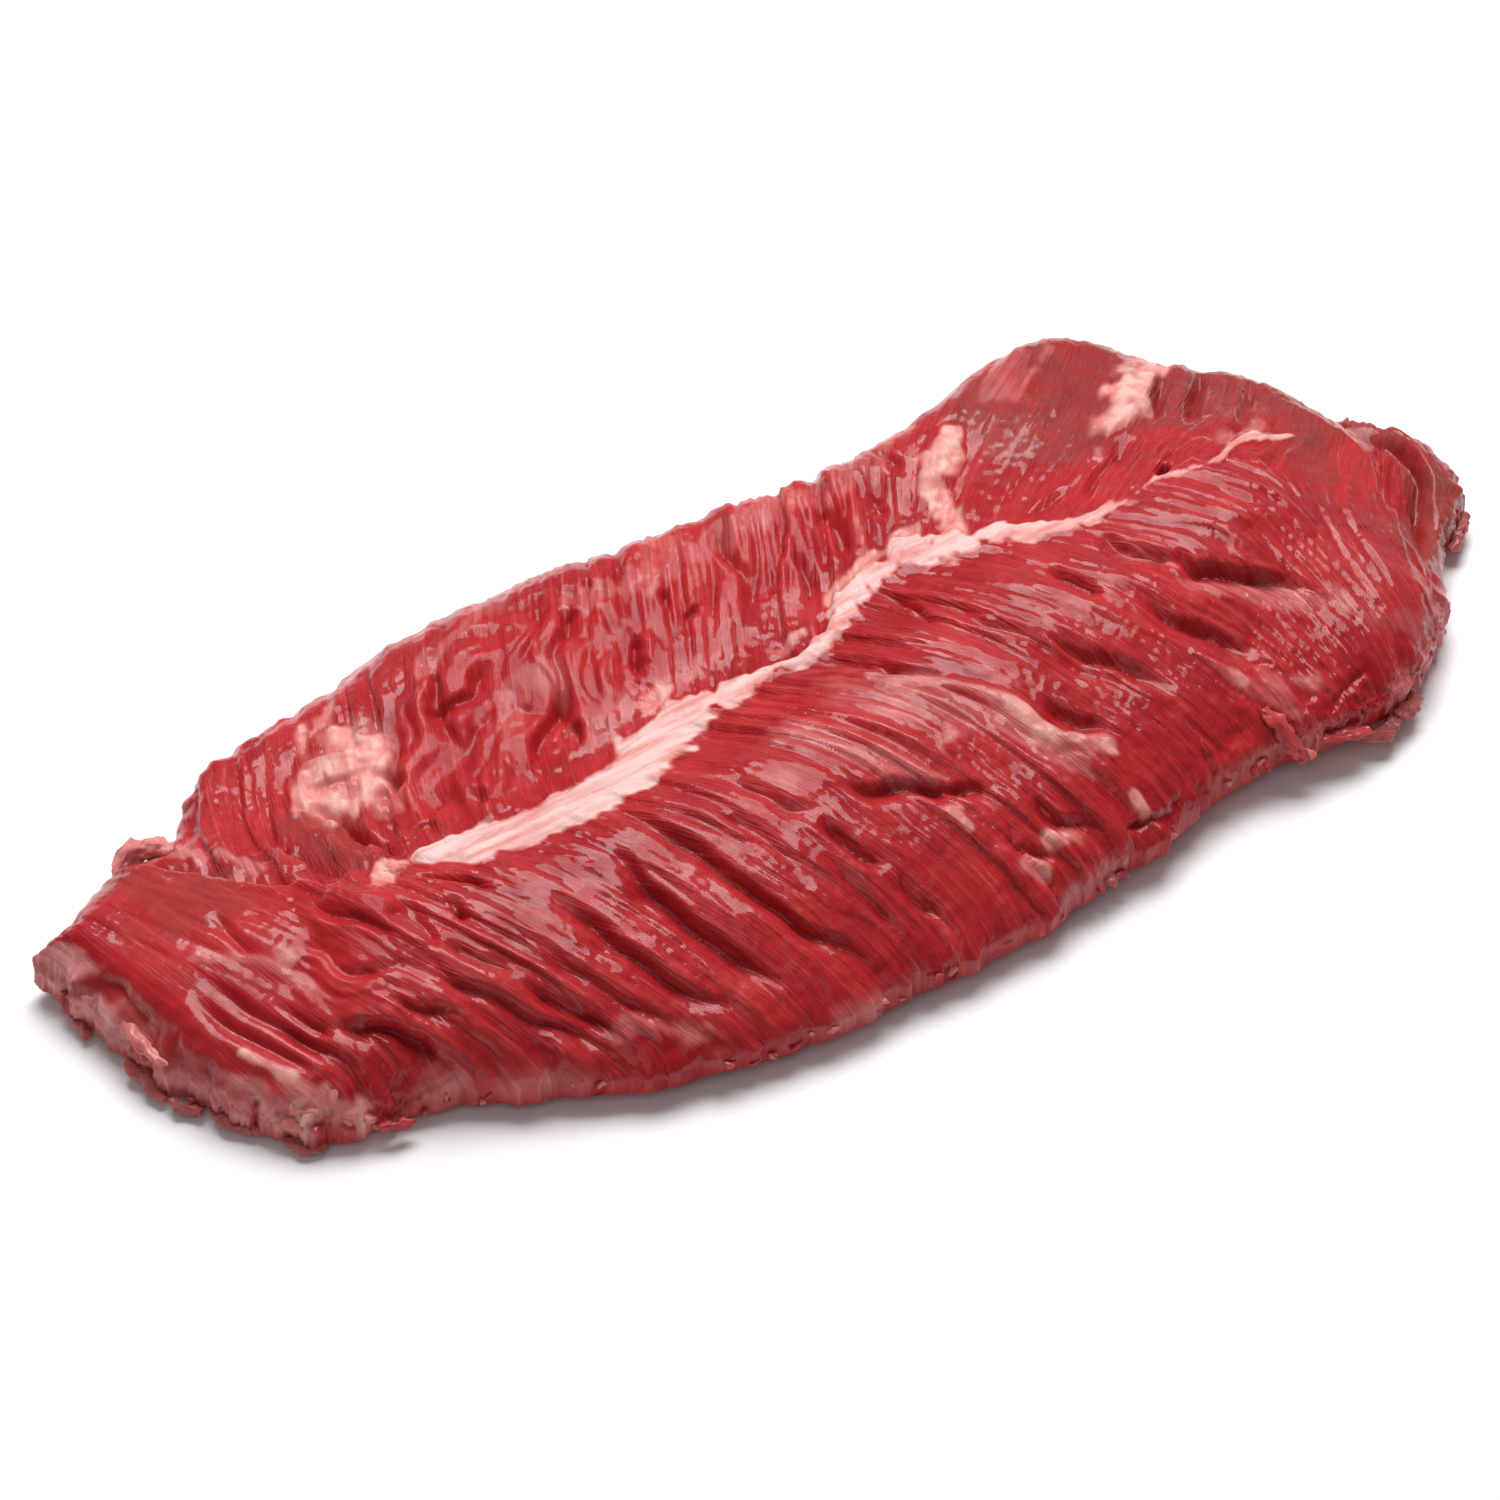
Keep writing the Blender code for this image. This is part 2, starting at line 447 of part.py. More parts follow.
def shape(bm):
    """Gives the block the steak's outline, thickness and relief."""
    area = Map(MAP_STEP)
    inward = edge_distance(area)
    rise, rounding, power = around_edge(area)
    height = smooth_height(area)
    relief = area.blur(upper_relief(area), FINEST_RELIEF)

    verts = list(bm.verts)
    block = np.array([v.co[:] for v in verts])
    s = closer_at_ends(block[:, 0] + 0.5, 0.35)
    t = closer_at_ends(block[:, 1] + 0.5)
    x, y = plan(s, t).T
    upper = block[:, 2] > 0
    rim = (np.abs(block[:, :2]) > 0.4999).any(axis=1)

    d = np.where(rim, 0, np.clip(area.read(inward, x, y), 0, None))
    off_table = area.read(rise, x, y)
    q = np.clip(d / area.read(rounding, x, y), 0, 1)
    start = off_table + RIM_WALL / 2
    full = (1 - (1 - q) ** 2) ** area.read(power, x, y)
    z_upper = start + (area.read(height, x, y) - start) * full
    under = np.clip(d / UNDERCUT, 0, 1)
    z_lower = (off_table - RIM_WALL / 2) * (1 - (1 - (1 - under) ** 2) ** 0.5)
    for vert, px, py, pz in zip(verts, x, y, np.where(upper, z_upper, z_lower)):
        vert.co = (px, py, pz)

    bm.normal_update()
    out = np.array([v.normal[:] for v in verts])
    near_rim = 0.35 + 0.65 * soft_step(d / 4.5)
    lift = np.where(upper, area.read(relief, x, y), 0) * near_rim
    place = np.array([v.co[:] for v in verts]) + out * lift[:, None]
    place[:, 2] = np.maximum(place[:, 2], np.where(upper, 0.8, 0))
    place[:, 0] -= PLAN_CENTRE[0]
    place[:, 1] -= PLAN_CENTRE[1]
    for vert, spot in zip(verts, place * MM):
        vert.co = spot


def main():
    for obj in list(bpy.data.objects):
        bpy.data.objects.remove(obj, do_unlink=True)

    bm = skin()
    shape(bm)
    bmesh.ops.recalc_face_normals(bm, faces=bm.faces)
    mesh = bpy.data.meshes.new("steak")
    bm.to_mesh(mesh)
    bm.free()
    mesh.shade_smooth()

    steak = bpy.data.objects.new("steak", mesh)
    bpy.context.scene.collection.objects.link(steak)
    thin = steak.modifiers.new("thin out", "DECIMATE")
    thin.ratio = SOLID_TRIANGLES / (2 * len(mesh.polygons))
    thin.use_collapse_triangulate = True

    meat = bpy.data.materials.new("raw meat")
    meat.use_nodes = True
    shader = meat.node_tree.nodes["Principled BSDF"]
    shader.inputs["Base Color"].default_value = MEAT_COLOUR
    shader.inputs["Roughness"].default_value = MEAT_ROUGHNESS
    shader.inputs["Metallic"].default_value = 0.0
    mesh.materials.append(meat)


main()
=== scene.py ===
"""Looks of a raw hanger steak: muscle, sinew, fat and torn edges at full detail, on a plain pale floor."""

import math
from types import SimpleNamespace

import bmesh
import bpy
import numpy as np
from bpy.props import FloatProperty, FloatVectorProperty, IntProperty
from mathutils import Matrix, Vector


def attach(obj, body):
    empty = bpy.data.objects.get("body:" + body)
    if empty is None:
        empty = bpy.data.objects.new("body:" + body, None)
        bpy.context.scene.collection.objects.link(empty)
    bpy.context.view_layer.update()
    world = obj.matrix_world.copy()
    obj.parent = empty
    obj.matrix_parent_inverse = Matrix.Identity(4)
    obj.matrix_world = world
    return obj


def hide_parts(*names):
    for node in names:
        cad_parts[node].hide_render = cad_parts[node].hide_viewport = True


bl_info = {
    "name": "Hanger steak",
    "version": (1, 0, 0),
    "blender": (4, 5, 0),
    "location": "3D View > Sidebar > Steak",
    "description": "Builds a raw hanger steak with its muscle, sinew, fat and torn edges",
    "category": "Add Mesh",
}

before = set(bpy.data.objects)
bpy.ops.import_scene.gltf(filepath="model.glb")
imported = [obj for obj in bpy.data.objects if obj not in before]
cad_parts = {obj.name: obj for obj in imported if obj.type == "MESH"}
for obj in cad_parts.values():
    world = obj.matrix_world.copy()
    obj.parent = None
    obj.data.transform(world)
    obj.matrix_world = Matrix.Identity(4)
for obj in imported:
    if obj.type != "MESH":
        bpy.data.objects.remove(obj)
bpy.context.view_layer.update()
MM = 0.001

# Middle of the outline's box: the steak's own frame is this far from the numbers below, in millimetres.
PLAN_CENTRE = (2.56, 1.95)

# The four sides of the outline seen from above, each from its left or front end to the other.
FRONT = [
    (-138, -32), (-128, -35), (-112, -39), (-97, -48), (-78, -58), (-58, -64.5), (-36, -67.5), (-12, -68),
    (12, -68), (36, -65), (57, -60.5), (72, -58), (85, -59.5), (98, -61),
]
RIGHT = [
    (98, -61), (114, -57), (128, -49), (139, -38), (151, -25), (162, -17), (165, -5), (160, 10),
    (152, 22),
]
BACK = [
    (-160, 36), (-147, 40.5), (-134, 47.5), (-121, 49), (-108, 62), (-87, 66.5), (-73, 68.5), (-59, 71.5),
    (-40, 71.5), (-20, 71), (0, 66.5), (25, 62.5), (50, 60.5), (75, 64), (96, 70.5), (112, 71),
    (125, 62.5), (133, 48.5), (146, 35.5), (152, 22),
]
LEFT = [
    (-138, -32), (-145.5, -22), (-150.5, -9), (-154, 5), (-157.5, 20), (-160, 36),
]

# Height of the upper side at places all over the steak: x, y, z. Each is felt for about the reach below them.
HEIGHTS = [
    (-150, 22, 16), (-150, -5, 17), (-140, -25, 14), (-130, 30, 21), (-120, 5, 24), (-110, -18, 25),
    (-98, -4, 26), (-80, -14, 27), (-80, -40, 21), (-60, -5, 26), (-40, -25, 30), (-40, -52, 20),
    (0, -15, 31), (0, -48, 22), (40, -8, 32), (40, -40, 24), (80, -12, 31), (80, -38, 22), (-80, 15, 19),
    (-60, 13, 19), (-30, 11, 21), (0, 16, 22), (30, 26, 24), (60, 31, 25), (90, 20, 26), (120, 20, 25),
    (-108, 44, 14), (-100, 22, 17), (-80, 46, 18), (-60, 36, 22), (-30, 42, 26), (-15, 52, 22),
    (0, 42, 27), (30, 46, 27), (60, 48, 27), (90, 48, 26), (112, 50, 23), (132, 36, 20), (120, 0, 28),
    (142, 5, 21), (150, -8, 15), (118, -30, 24), (134, -20, 18), (100, -45, 18), (-120, 42, 12),
    (-75, 58, 16),
]
HEIGHT_REACH = 24.0

# Around the edge: x, y, how far the rim is off the table, how far in the rounding goes, and how gentle it is.
EDGES = [
    (-156, 5, 3, 10, 0.75), (-146, -22, 3, 9, 0.7), (-138, -32, 3, 8, 0.65), (-159, 36, 4, 9, 0.6),
    (-140, 46, 7, 9, 0.45), (-120, 49, 4, 11, 0.5), (-86, 64, 4, 15, 0.5), (-40, 70, 4, 15, 0.5),
    (0, 65, 4, 15, 0.5), (50, 59, 4, 15, 0.5), (96, 70, 4, 13, 0.5), (125, 63, 4, 12, 0.5),
    (150, 30, 5, 10, 0.5), (164, 0, 5, 12, 0.5), (151, -25, 5, 10, 0.55), (128, -49, 5, 14, 0.6),
    (98, -61, 9, 17, 0.7), (76, -58, 10, 17, 0.7), (57, -61, 7, 20, 0.7), (12, -68, 6, 23, 0.75),
    (-36, -68, 6, 23, 0.75), (-78, -58, 6, 22, 0.75), (-112, -39, 5, 15, 0.6),
]
# The height of the rim's own wall, and how far in from the rim the underside comes down to the table.
RIM_WALL = 3.4
UNDERCUT = 14.0

# The sinew between the two lobes: x, y and half its width.
SINEW = [
    (-88, 5.5, 3.6), (-79, 1.5, 5.4), (-70, -1, 5.4), (-60, -2.4, 5.6), (-50, -2, 6.8), (-42, -0.4, 7.4),
    (-33, 4, 7), (-24, 8.2, 5.8), (-14, 8.8, 4.2), (-5, 8.2, 3.1), (5, 7.5, 2.4), (15, 9, 2.4),
    (24, 16, 4), (32, 19, 5), (42, 19, 6.2), (50, 15, 6), (58, 13, 6), (66, 8, 3.4), (74, 4.5, 2.8),
    (85, 5, 1.7), (97, 6.5, 1.2), (103, 4, 1.2), (112, 5, 1.2), (122, 8, 1.8), (135, 6, 0.8),
]
# How far the cord stands out of the muscle.
SINEW_RISE = 0.9
# How whole the sinew is along the steak: x and its share.
SINEW_SHOWS = [
    (-100, 1.0), (-30, 1.0), (-20, 0.75), (-5, 0.65), (12, 0.7), (25, 0.65), (60, 0.65), (72, 0.5),
    (84, 0.2), (108, 0.1), (120, 0.3), (135, 0.1),
]

# Where the front lobe ends and the back lobe begins, from left to right.
LOBE_SEAM = [
    (-150, 70), (-131, 50), (-122, 27), (-108, 9), (-92, 4), (-60, 3), (-35, 5), (-15, 9), (5, 9),
    (25, 14), (45, 17), (60, 13), (72, 7), (85, 5), (98, 7), (110, 4), (130, 5), (170, 2),
]

# The way the muscle runs: x, y and the angle from the long direction in degrees, for each lobe, and how far
# each place is felt.
FRONT_GRAIN = [
    (-150, 20, -60), (-146, -10, -65), (-135, 25, -65), (-120, -8, -75), (-118, -30, -47),
    (-100, -12, -85), (-97, -36, -52), (-80, -45, -60), (-70, -39, -72), (-58, -33, -75), (-45, -30, -66),
    (-45, -50, -66), (-25, -10, -68), (-30, -50, -72), (-10, -20, -60), (-15, -50, -78), (5, -10, -55),
    (10, -30, -60), (10, -55, -80), (30, -15, -55), (40, -30, -52), (45, -50, -70), (60, -8, -70),
    (60, -25, -58), (65, -40, -55), (80, -10, -52), (90, -25, -40), (80, -36, -55), (95, -46, -80),
    (110, -15, -50), (100, -5, -62), (115, -36, -85), (126, -30, 70), (130, -10, 25), (122, -46, 35),
    (140, -16, 50), (145, 0, 20), (156, -8, 45),
]
BACK_GRAIN = [
    (-110, 45, 60), (-100, 52, 62), (-90, 60, 70), (-85, 40, 60), (-70, 35, 70), (-60, 20, 45),
    (-60, 50, 45), (-45, 35, 60), (-30, 30, 55), (-45, 15, 60), (-20, 35, 62), (0, 30, 60), (10, 45, 62),
    (20, 30, 62), (35, 45, 80), (50, 45, 75), (60, 25, 40), (70, 35, 30), (85, 45, 30), (80, 20, 20),
    (90, 30, 35), (105, 20, 40), (100, 42, 40), (120, 25, 45), (130, 20, 48), (135, 35, 45),
    (115, 52, 40), (145, 15, 50),
]
GRAIN_REACH = 16.0

# Creases between bundles: width to the left and to the right of the way they are drawn, depth, and the way.
CREASES = [
    (2.5, 2.5, 1.5, [(-154.5, 19), (-152, 13), (-151.5, 5), (-150, 0)]),
    (3, 3, 2.0, [(-144, 0), (-141, -10), (-138, -18), (-134, -27)]),
    (2.5, 2.5, 1.5, [(-140, 2), (-138, -8), (-135, -15), (-131, -25), (-127, -33)]),
    (2.5, 2.5, 1.5, [(-136, -14), (-130, -24), (-124, -32)]),
    (2.5, 2.5, 1.2, [(-130, 15), (-130.5, 5), (-129, 0)]),
    (2.5, 2.5, 1.5, [(-132, -12), (-129, -20), (-125, -24)]),
    (1.4, 3.5, 4.5, [(-125, -22.5), (-121, -26), (-117, -30), (-113, -34), (-110, -38)]),
    (1.4, 3.0, 3.0, [(-114, -24), (-111, -29), (-105, -34)]),
    (2.5, 2.5, 1.5, [(-100.5, -9), (-101, -21)]), (1.5, 1.5, 3.0, [(-92.5, -11), (-92.5, -18)]),
    (2.5, 3.5, 3.0, [(-104, -22), (-101, -30), (-97, -36), (-92, -42), (-87, -47), (-82, -53)]),
    (2.5, 2.5, 2.0, [(-99, -19), (-96, -24), (-91, -34)]),
    (3.5, 3.5, 3.0, [(-90, -36), (-86, -43), (-79, -51)]),
    (2.5, 2.5, 2.0, [(-86, -29), (-80, -39), (-75, -49), (-66, -59)]),
    (1.6, 4.0, 4.2, [(-75, -21), (-74, -26), (-70, -39), (-65, -50), (-62, -55), (-58, -58)]),
    (1.6, 5.5, 5.0, [(-60, -20), (-59, -27), (-56, -39), (-52, -50), (-49, -55), (-45, -60)]),
    (1.4, 4.5, 4.2, [(-51, -10), (-48, -20), (-45.5, -30), (-40.5, -41), (-36, -52), (-27, -64)]),
    (2.5, 2.5, 1.5, [(-38, -24), (-34, -30), (-31, -36), (-30, -40)]),
    (1.6, 3.0, 2.6, [(-30, -16), (-28, -22), (-24, -29), (-19, -34)]),
    (2.5, 3.0, 3.0, [(-19.5, -35), (-18, -42), (-15.5, -50)]),
    (2.5, 2.5, 1.6, [(-24, -43), (-23, -50), (-21, -57), (-19, -62)]),
    (2.5, 2.5, 2.0, [(-14, -52), (-12.5, -58), (-10, -62)]),
    (1.4, 3.0, 4.2, [(-12, -31), (-7, -35), (0, -36.5), (5, -40), (10, -42), (15, -44.5)]),
    (3.5, 3.5, 2.0, [(7, 5), (10, 0), (13, -4), (15, -7)]),
    (1.2, 4.0, 3.2, [(15.5, -5), (15.5, -10), (20, -17), (24, -19.5)]),
    (1.4, 1.6, 2.6, [(31, 12), (31, 5), (30.5, -3)]),
    (1.8, 3.5, 2.6, [(37.5, -2), (37.5, -10), (44, -18), (45, -25), (51, -33), (55, -37)]),
    (3.5, 4.5, 3.0, [(47, -20), (50, -27), (55, -31), (60, -37), (62, -42)]),
    (1.6, 4.5, 3.0, [(36, -33), (40, -40), (44, -43)]),
    (1.2, 3.5, 3.2, [(60.5, -3), (61, -9), (63.5, -16.5)]),
    (1.4, 5.0, 3.4, [(72, -22), (73, -26), (79, -34), (84, -41)]),
    (1.6, 5.5, 3.4, [(74, -2), (76, -8), (79, -11), (85, -17)]),
    (1.6, 5.0, 4.8, [(85.5, -14), (86, -20), (90, -22.5), (100, -29.5), (104, -34)]),
    (2.5, 2.5, 2.0, [(12, -52), (13, -57), (19, -62.5)]),
    (1.8, 3.5, 2.6, [(22, -50), (23, -55), (31, -60.5)]),
    (1.2, 1.8, 2.4, [(35, -62), (42, -61), (48, -60.5), (54, -58.5)]),
    (8.0, 1.4, 3.2, [(-130, 50), (-128, 38), (-122, 27), (-113, 14), (-108, 9), (-101, 2)]),
    (3.0, 2.5, 2.0, [(-101, 41), (-107, 30), (-106, 20), (-104, 8)]),
    (3.0, 1.6, 4.5, [(-95, 36), (-93, 28), (-93, 20), (-92, 10)]),
    (1.6, 1.6, 4.0, [(-94, 0), (-90, -4), (-86, -9), (-85, -13)]),
    (2.5, 2.5, 3.0, [(-80, 34), (-77, 28)]),
    (1.4, 3.5, 3.0, [(-65, 41), (-56, 40), (-52, 43), (-46, 46)]),
    (1.4, 4.5, 4.0, [(-55, 16), (-51, 20), (-46, 23), (-42, 26), (-39.5, 30)]),
    (1.4, 4.5, 4.0, [(-41.5, 21.5), (-42, 18), (-44, 15)]),
    (1.8, 3.0, 2.8, [(-32, 40.5), (-27, 45), (-24.5, 49)]),
    (1.2, 1.8, 3.0, [(-24, 24), (-22, 28), (-18, 34.5)]),
    (1.8, 1.8, 2.4, [(-8, 36), (-7.5, 39), (-6, 41)]), (1.2, 1.8, 2.4, [(-6, 31.5), (-2, 32.5)]),
    (1.8, 3.0, 3.2, [(3, 23), (8, 31), (10, 36), (11, 44), (16, 52)]),
    (1.2, 3.0, 2.6, [(17, 21), (20, 27), (23, 34.5)]), (1.8, 3.0, 3.6, [(32, 29), (34.5, 37), (35, 43)]),
    (3.5, 2.5, 1.6, [(45, 33), (45, 37), (46, 41)]), (2.5, 2.5, 2.0, [(56, 42), (56.5, 48), (58, 52)]),
    (1.2, 3.5, 1.6, [(67, 14), (72, 15), (78, 17), (84, 18)]),
    (1.4, 3.5, 2.8, [(79, 11), (88, 17), (96, 20.5), (101, 25)]),
    (1.2, 1.8, 5.0, [(96.5, 7.7), (101, 9.7)]), (1.8, 2.5, 2.6, [(110, 25), (115, 30), (121, 38)]),
    (1.8, 3.0, 3.2, [(116, 20), (122, 26), (128, 33), (133, 39)]),
    (1.8, 2.5, 2.2, [(118, 10), (126, 16), (133, 22), (140, 30)]),
]
# The ledge of the lower layer that sticks out at the right end.
LEDGES = [
    (12.0, 1.4, 5.5, [(137, -34), (146, -25), (152, -16), (157, -6), (158, 6), (154, 17), (149, 28)]),
]

# Raised pieces: half width, height and the way.
RAISED = [
    (2.8, 1.0, [(11, -9), (17, -16), (23, -21), (29, -30), (31, -36), (36, -42), (42, -47)]),
    (8.0, 2.0, [(-87, 38), (-84, 45)]),
    (4.0, 1.6, [(58, 34), (64, 39), (70, 44)]),
    (5.0, 1.8, [(103, 31), (110, 34), (116, 39), (121, 43)]),
    (3.5, 1.2, [(-148, 0), (-145, -12), (-138, -27)]),
    (3.0, 1.4, [(-99, 30), (-100, 20), (-98, 8)]),
]

# Bundles of fibre everywhere: width across, reach along, height, and the number that starts their pattern.
BUNDLES = [(4.5, 36.0, 0.5, 3), (2.2, 22.0, 0.26, 8), (1.1, 12.0, 0.2, 12)]
# Folds that overlap like shingles: width, height, how much they wander, and their pattern's number.
SHINGLES = [(9.5, 1.3, 0.42, 61), (3.6, 0.5, 0.5, 71)]

# Fat in lumpy peach-pink deposits: half width, strength and the way.
FAT = [
    (3.2, 1.0, [(53, 16), (55, 25), (57, 34)]), (2.4, 1.0, [(22, 19), (29, 22), (36, 24)]),
    (2.6, 1.0, [(38, 22), (46, 26)]), (2.2, 0.6, [(-15, 18), (-11, 21)]),
    (2.4, 0.7, [(-27, 16), (-22, 19)]), (1.6, 0.7, [(2, 13), (10, 15)]),
    (9.0, 1.0, [(-88, 35), (-85, 42), (-82, 47)]), (2.4, 1.0, [(56, 34), (60, 38), (63, 41)]),
    (2.2, 1.0, [(65, 41), (71, 45)]), (2.0, 1.0, [(63, 36), (68, 40)]),
    (4.4, 1.0, [(101, 31), (107, 33), (112, 37), (117, 41), (124, 46)]),
    (2.3, 0.6, [(11, -9), (13.5, -12), (17, -16), (20, -19)]),
    (1.6, 0.45, [(20, -19), (26, -26), (29, -30)]), (2.8, 0.7, [(29, -30), (31, -36), (33, -40)]),
    (1.2, 0.5, [(33, -40), (37, -43), (40, -45)]), (2.6, 0.8, [(40, -45.5), (42, -47.5)]),
    (2.6, 0.8, [(20, -58.5), (23, -59)]), (2.2, 0.6, [(12, -61), (14, -63)]),
    (1.6, 0.6, [(40, -57), (41, -60)]), (1.4, 0.5, [(4.3, -45), (4.8, -49)]),
    (1.6, 0.6, [(11.5, -31.5), (14.5, -31)]), (1.6, 1.0, [(-139, -28), (-134, -30)]),
    (1.4, 1.0, [(-137, -31), (-127, -35)]), (0.9, 1.0, [(-142, -15), (-136, -28)]),
    (2.2, 1.0, [(-100, 1), (-96, 6), (-91, 6)]), (1.8, 0.5, [(77, -43), (76, -45)]),
    (2.2, 0.5, [(88, -49.5), (92, -51)]), (1.6, 0.5, [(94, 24), (92, 21)]),
    (1.6, 0.45, [(-125, -1), (-125, -5)]),
]
# Where the back lobe lies in soft crumpled folds: half width, strength and the way.
CRUMPLED = [
    (20.0, 1.0, [(-66, 26), (-50, 34), (-30, 38)]), (9.0, 0.8, [(-120, -16), (-112, -6), (-104, 4)]),
]
# Where the bundles stand out as deep ribs: half width, strength and the way.
RIBBED = [(17.0, 1.0, [(-28, 38), (0, 41), (28, 44)])]
# Where the muscle lies smooth and tight: half width, strength and the way.
TIGHT = [
    (20.0, 0.75, [(-142, 32), (-138, 10), (-130, -8)]), (9.0, 0.5, [(-146, -4), (-134, -22)]),
    (12.0, 0.5, [(70, 36), (84, 50)]), (10.0, 0.4, [(8, -16), (20, -26), (30, -36)]),
]
# Where the rim is torn: half width, strength and the way.
RAGGED = [
    (7.0, 0.6, [(-158, 30), (-155, 5), (-147, -20), (-138, -33)]), (6.0, 0.8, [(-136, -34), (-118, -38)]),
    (9.0, 0.7, [(150, -28), (164, -10), (161, 12)]), (7.0, 0.8, [(84, -57), (106, -59), (132, -46)]),
]
# Thin silvery skin over the muscle: half width, strength and the way.
SILVER = [
    (3.6, 0.8, [(-13, -12), (-8, -20), (-4, -28), (0, -33), (5, -38)]),
    (6.0, 0.5, [(4, -10), (10, -20), (20, -28)]), (4.0, 0.8, [(26, -28), (30, -38), (35, -46)]),
    (3.0, 0.8, [(84, -22), (90, -26), (100, -33), (108, -38)]),
    (1.8, 0.7, [(-80, -51), (-74, -53), (-68, -58), (-65, -60)]),
    (1.2, 0.9, [(-129, 50), (-128, 38), (-122, 27), (-113, 14), (-108, 9)]),
    (2.6, 0.9, [(-123, 28), (-120, 25)]), (3.0, 0.6, [(-75, 50), (-76, 38), (-84, 26)]),
    (3.0, 0.7, [(-57, 53), (-45, 56), (-35, 62)]), (3.5, 0.7, [(-20, 49), (-5, 45), (3, 52)]),
    (4.0, 0.6, [(5, 46), (20, 48), (45, 47), (60, 56)]), (4.0, 0.6, [(88, 52), (96, 57), (106, 60)]),
    (3.0, 0.8, [(118, 10), (127, 14)]), (4.8, 1.8, [(-158, 30), (-156, 0), (-148, -20), (-140, -31)]),
    (1.8, 1.1, [(-127, 45), (-121, 38), (-117, 31), (-114, 25)]),
    (1.4, 0.8, [(-138, 8), (-130, -2), (-126, -12)]), (5.0, 0.5, [(-52, 28), (-46, 33), (-40, 34)]),
    (4.0, 0.5, [(-38, 16), (-30, 20)]), (4.0, 0.4, [(112, -45), (120, -50), (127, -47)]),
    (4.0, 0.5, [(78, -46), (84, -50)]),
]
# Muscle that has gone brown in the air: half width, strength and the way.
BROWN = [
    (28.0, 0.8, [(104, 44), (130, 40), (150, 22)]), (14.0, 0.9, [(160, -14), (164, 0), (156, 20)]),
    (5.0, 0.4, [(-160, 30), (-156, 0), (-148, -22), (-138, -33)]), (9.0, 0.9, [(140, -33), (158, -18)]),
    (12.0, 0.45, [(-134, 40), (-128, 25)]), (6.0, 0.6, [(-99, 30), (-100, 12)]),
]

# Torn scraps of skin, fat and muscle at the rim: half width, half thickness, how much sinew, fat, silvery
# skin and brown they have, and the way that they lie: x, y, z.
PALE, PINK, DULL, BARE = (0, 0.35, 1.3, 0), (0, 0.7, 0.6, 0), (0, 0.1, 0.7, 0.8), (0, 0, 0.45, 0)
SCRAPS = [
    (2.4, 1.7, PALE, [(-135, 44.5, 10), (-132.6, 46.4, 11.6), (-129.6, 47.4, 12.8), (-126.4, 46, 13),
                      (-122.6, 43, 13)]),
    (1.3, 1.0, PALE, [(-154.5, 33, 9.5), (-155.6, 27.5, 9.5), (-155.8, 21, 9), (-154.2, 17, 9.5)]),
    (1.5, 1.0, PALE, [(-154.6, 13, 9), (-154, 7, 9.5), (-153.4, 1, 9), (-152.5, -4, 9)]),
    (1.5, 0.9, DULL, [(-156.4, 29.5, 5), (-157.2, 26.5, 4), (-157.6, 23.5, 3), (-158, 20, 2.2),
                      (-159, 17.8, 1.4)]),
    (1.7, 0.9, DULL, [(-155.8, 7, 4), (-155.8, 3.8, 3), (-154.8, 1, 3), (-155, -2.4, 2.2),
                      (-155, -5.5, 1.6)]),
    (1.5, 0.9, DULL, [(-154, -6, 2.6), (-152.8, -9, 2), (-150.4, -12.4, 1.8)]),
    (1.6, 1.0, DULL, [(-149, -15, 2.6), (-146.5, -19.5, 2), (-143.5, -23.5, 2.2)]),
    (1.9, 1.0, DULL, [(-141.5, -28, 2.2), (-139.4, -30.5, 1.6), (-137, -32.4, 1.6), (-135, -30.5, 2)]),
    (1.8, 1.5, PINK, [(-142.4, -25.6, 5.4), (-138.8, -28.2, 5.6), (-135.2, -30.4, 5.6),
                      (-131.5, -31.8, 5.4)]),
    (1.7, 1.3, PINK, [(-139, -26.6, 8.6), (-136.2, -29, 9), (-133, -30.6, 8.4)]),
    (1.5, 1.1, PINK, [(-132, -32.6, 6.4), (-128.4, -34.4, 6), (-124.6, -35.8, 5.4)]),
    (1.3, 0.9, PALE, [(-133.4, -24.6, 14), (-131, -27.6, 13), (-131.4, -30.4, 11.4), (-133, -31.6, 10)]),
    (1.2, 0.9, BARE, [(-126, -37.5, 5), (-122.5, -39, 4.4), (-119, -39.4, 4)]),
    (2.2, 1.2, BARE, [(77.6, -52.6, 17.4), (79, -56, 15.2), (80.4, -58.6, 12), (81.6, -61, 9),
                      (82, -62.4, 7.6)]),
    (0.8, 0.6, PALE, [(81.5, -59.6, 10.4), (83, -61.4, 9), (83.8, -63, 8.4)]),
    (0.8, 0.6, BARE, [(72.2, -56.6, 9), (71, -59.6, 7.4)]),
    (0.9, 0.6, BARE, [(74.6, -56.8, 9.4), (73.9, -60.2, 7.6)]),
    (1.7, 0.8, BARE, [(86, -58.5, 9.6), (90.5, -60.4, 9), (95, -61.4, 8.4), (99.5, -62.6, 7.6)]),
    (1.9, 1.2, DULL, [(97, -58.4, 5.4), (101, -61, 4.6), (105, -61.4, 4.2), (109, -59, 4.4)]),
    (1.9, 1.2, DULL, [(107.5, -60.4, 5.4), (112, -59, 4.6), (116, -56, 4.6)]),
    (1.6, 1.1, DULL, [(152, -26, 4), (157, -22, 3.6), (162, -18, 4)]),
    (1.5, 1.1, DULL, [(164.4, -8, 4.4), (165.6, -2, 5), (164.6, 4, 4.4)]),
    (1.5, 1.0, PALE, [(-101.5, 0.5, 22.5), (-98.5, 3.5, 23), (-95, 6.5, 22.4)]),
    (1.1, 0.8, PALE, [(-99, -0.5, 23), (-96.5, 2.5, 23.4), (-92.5, 4, 22.8)]),
]
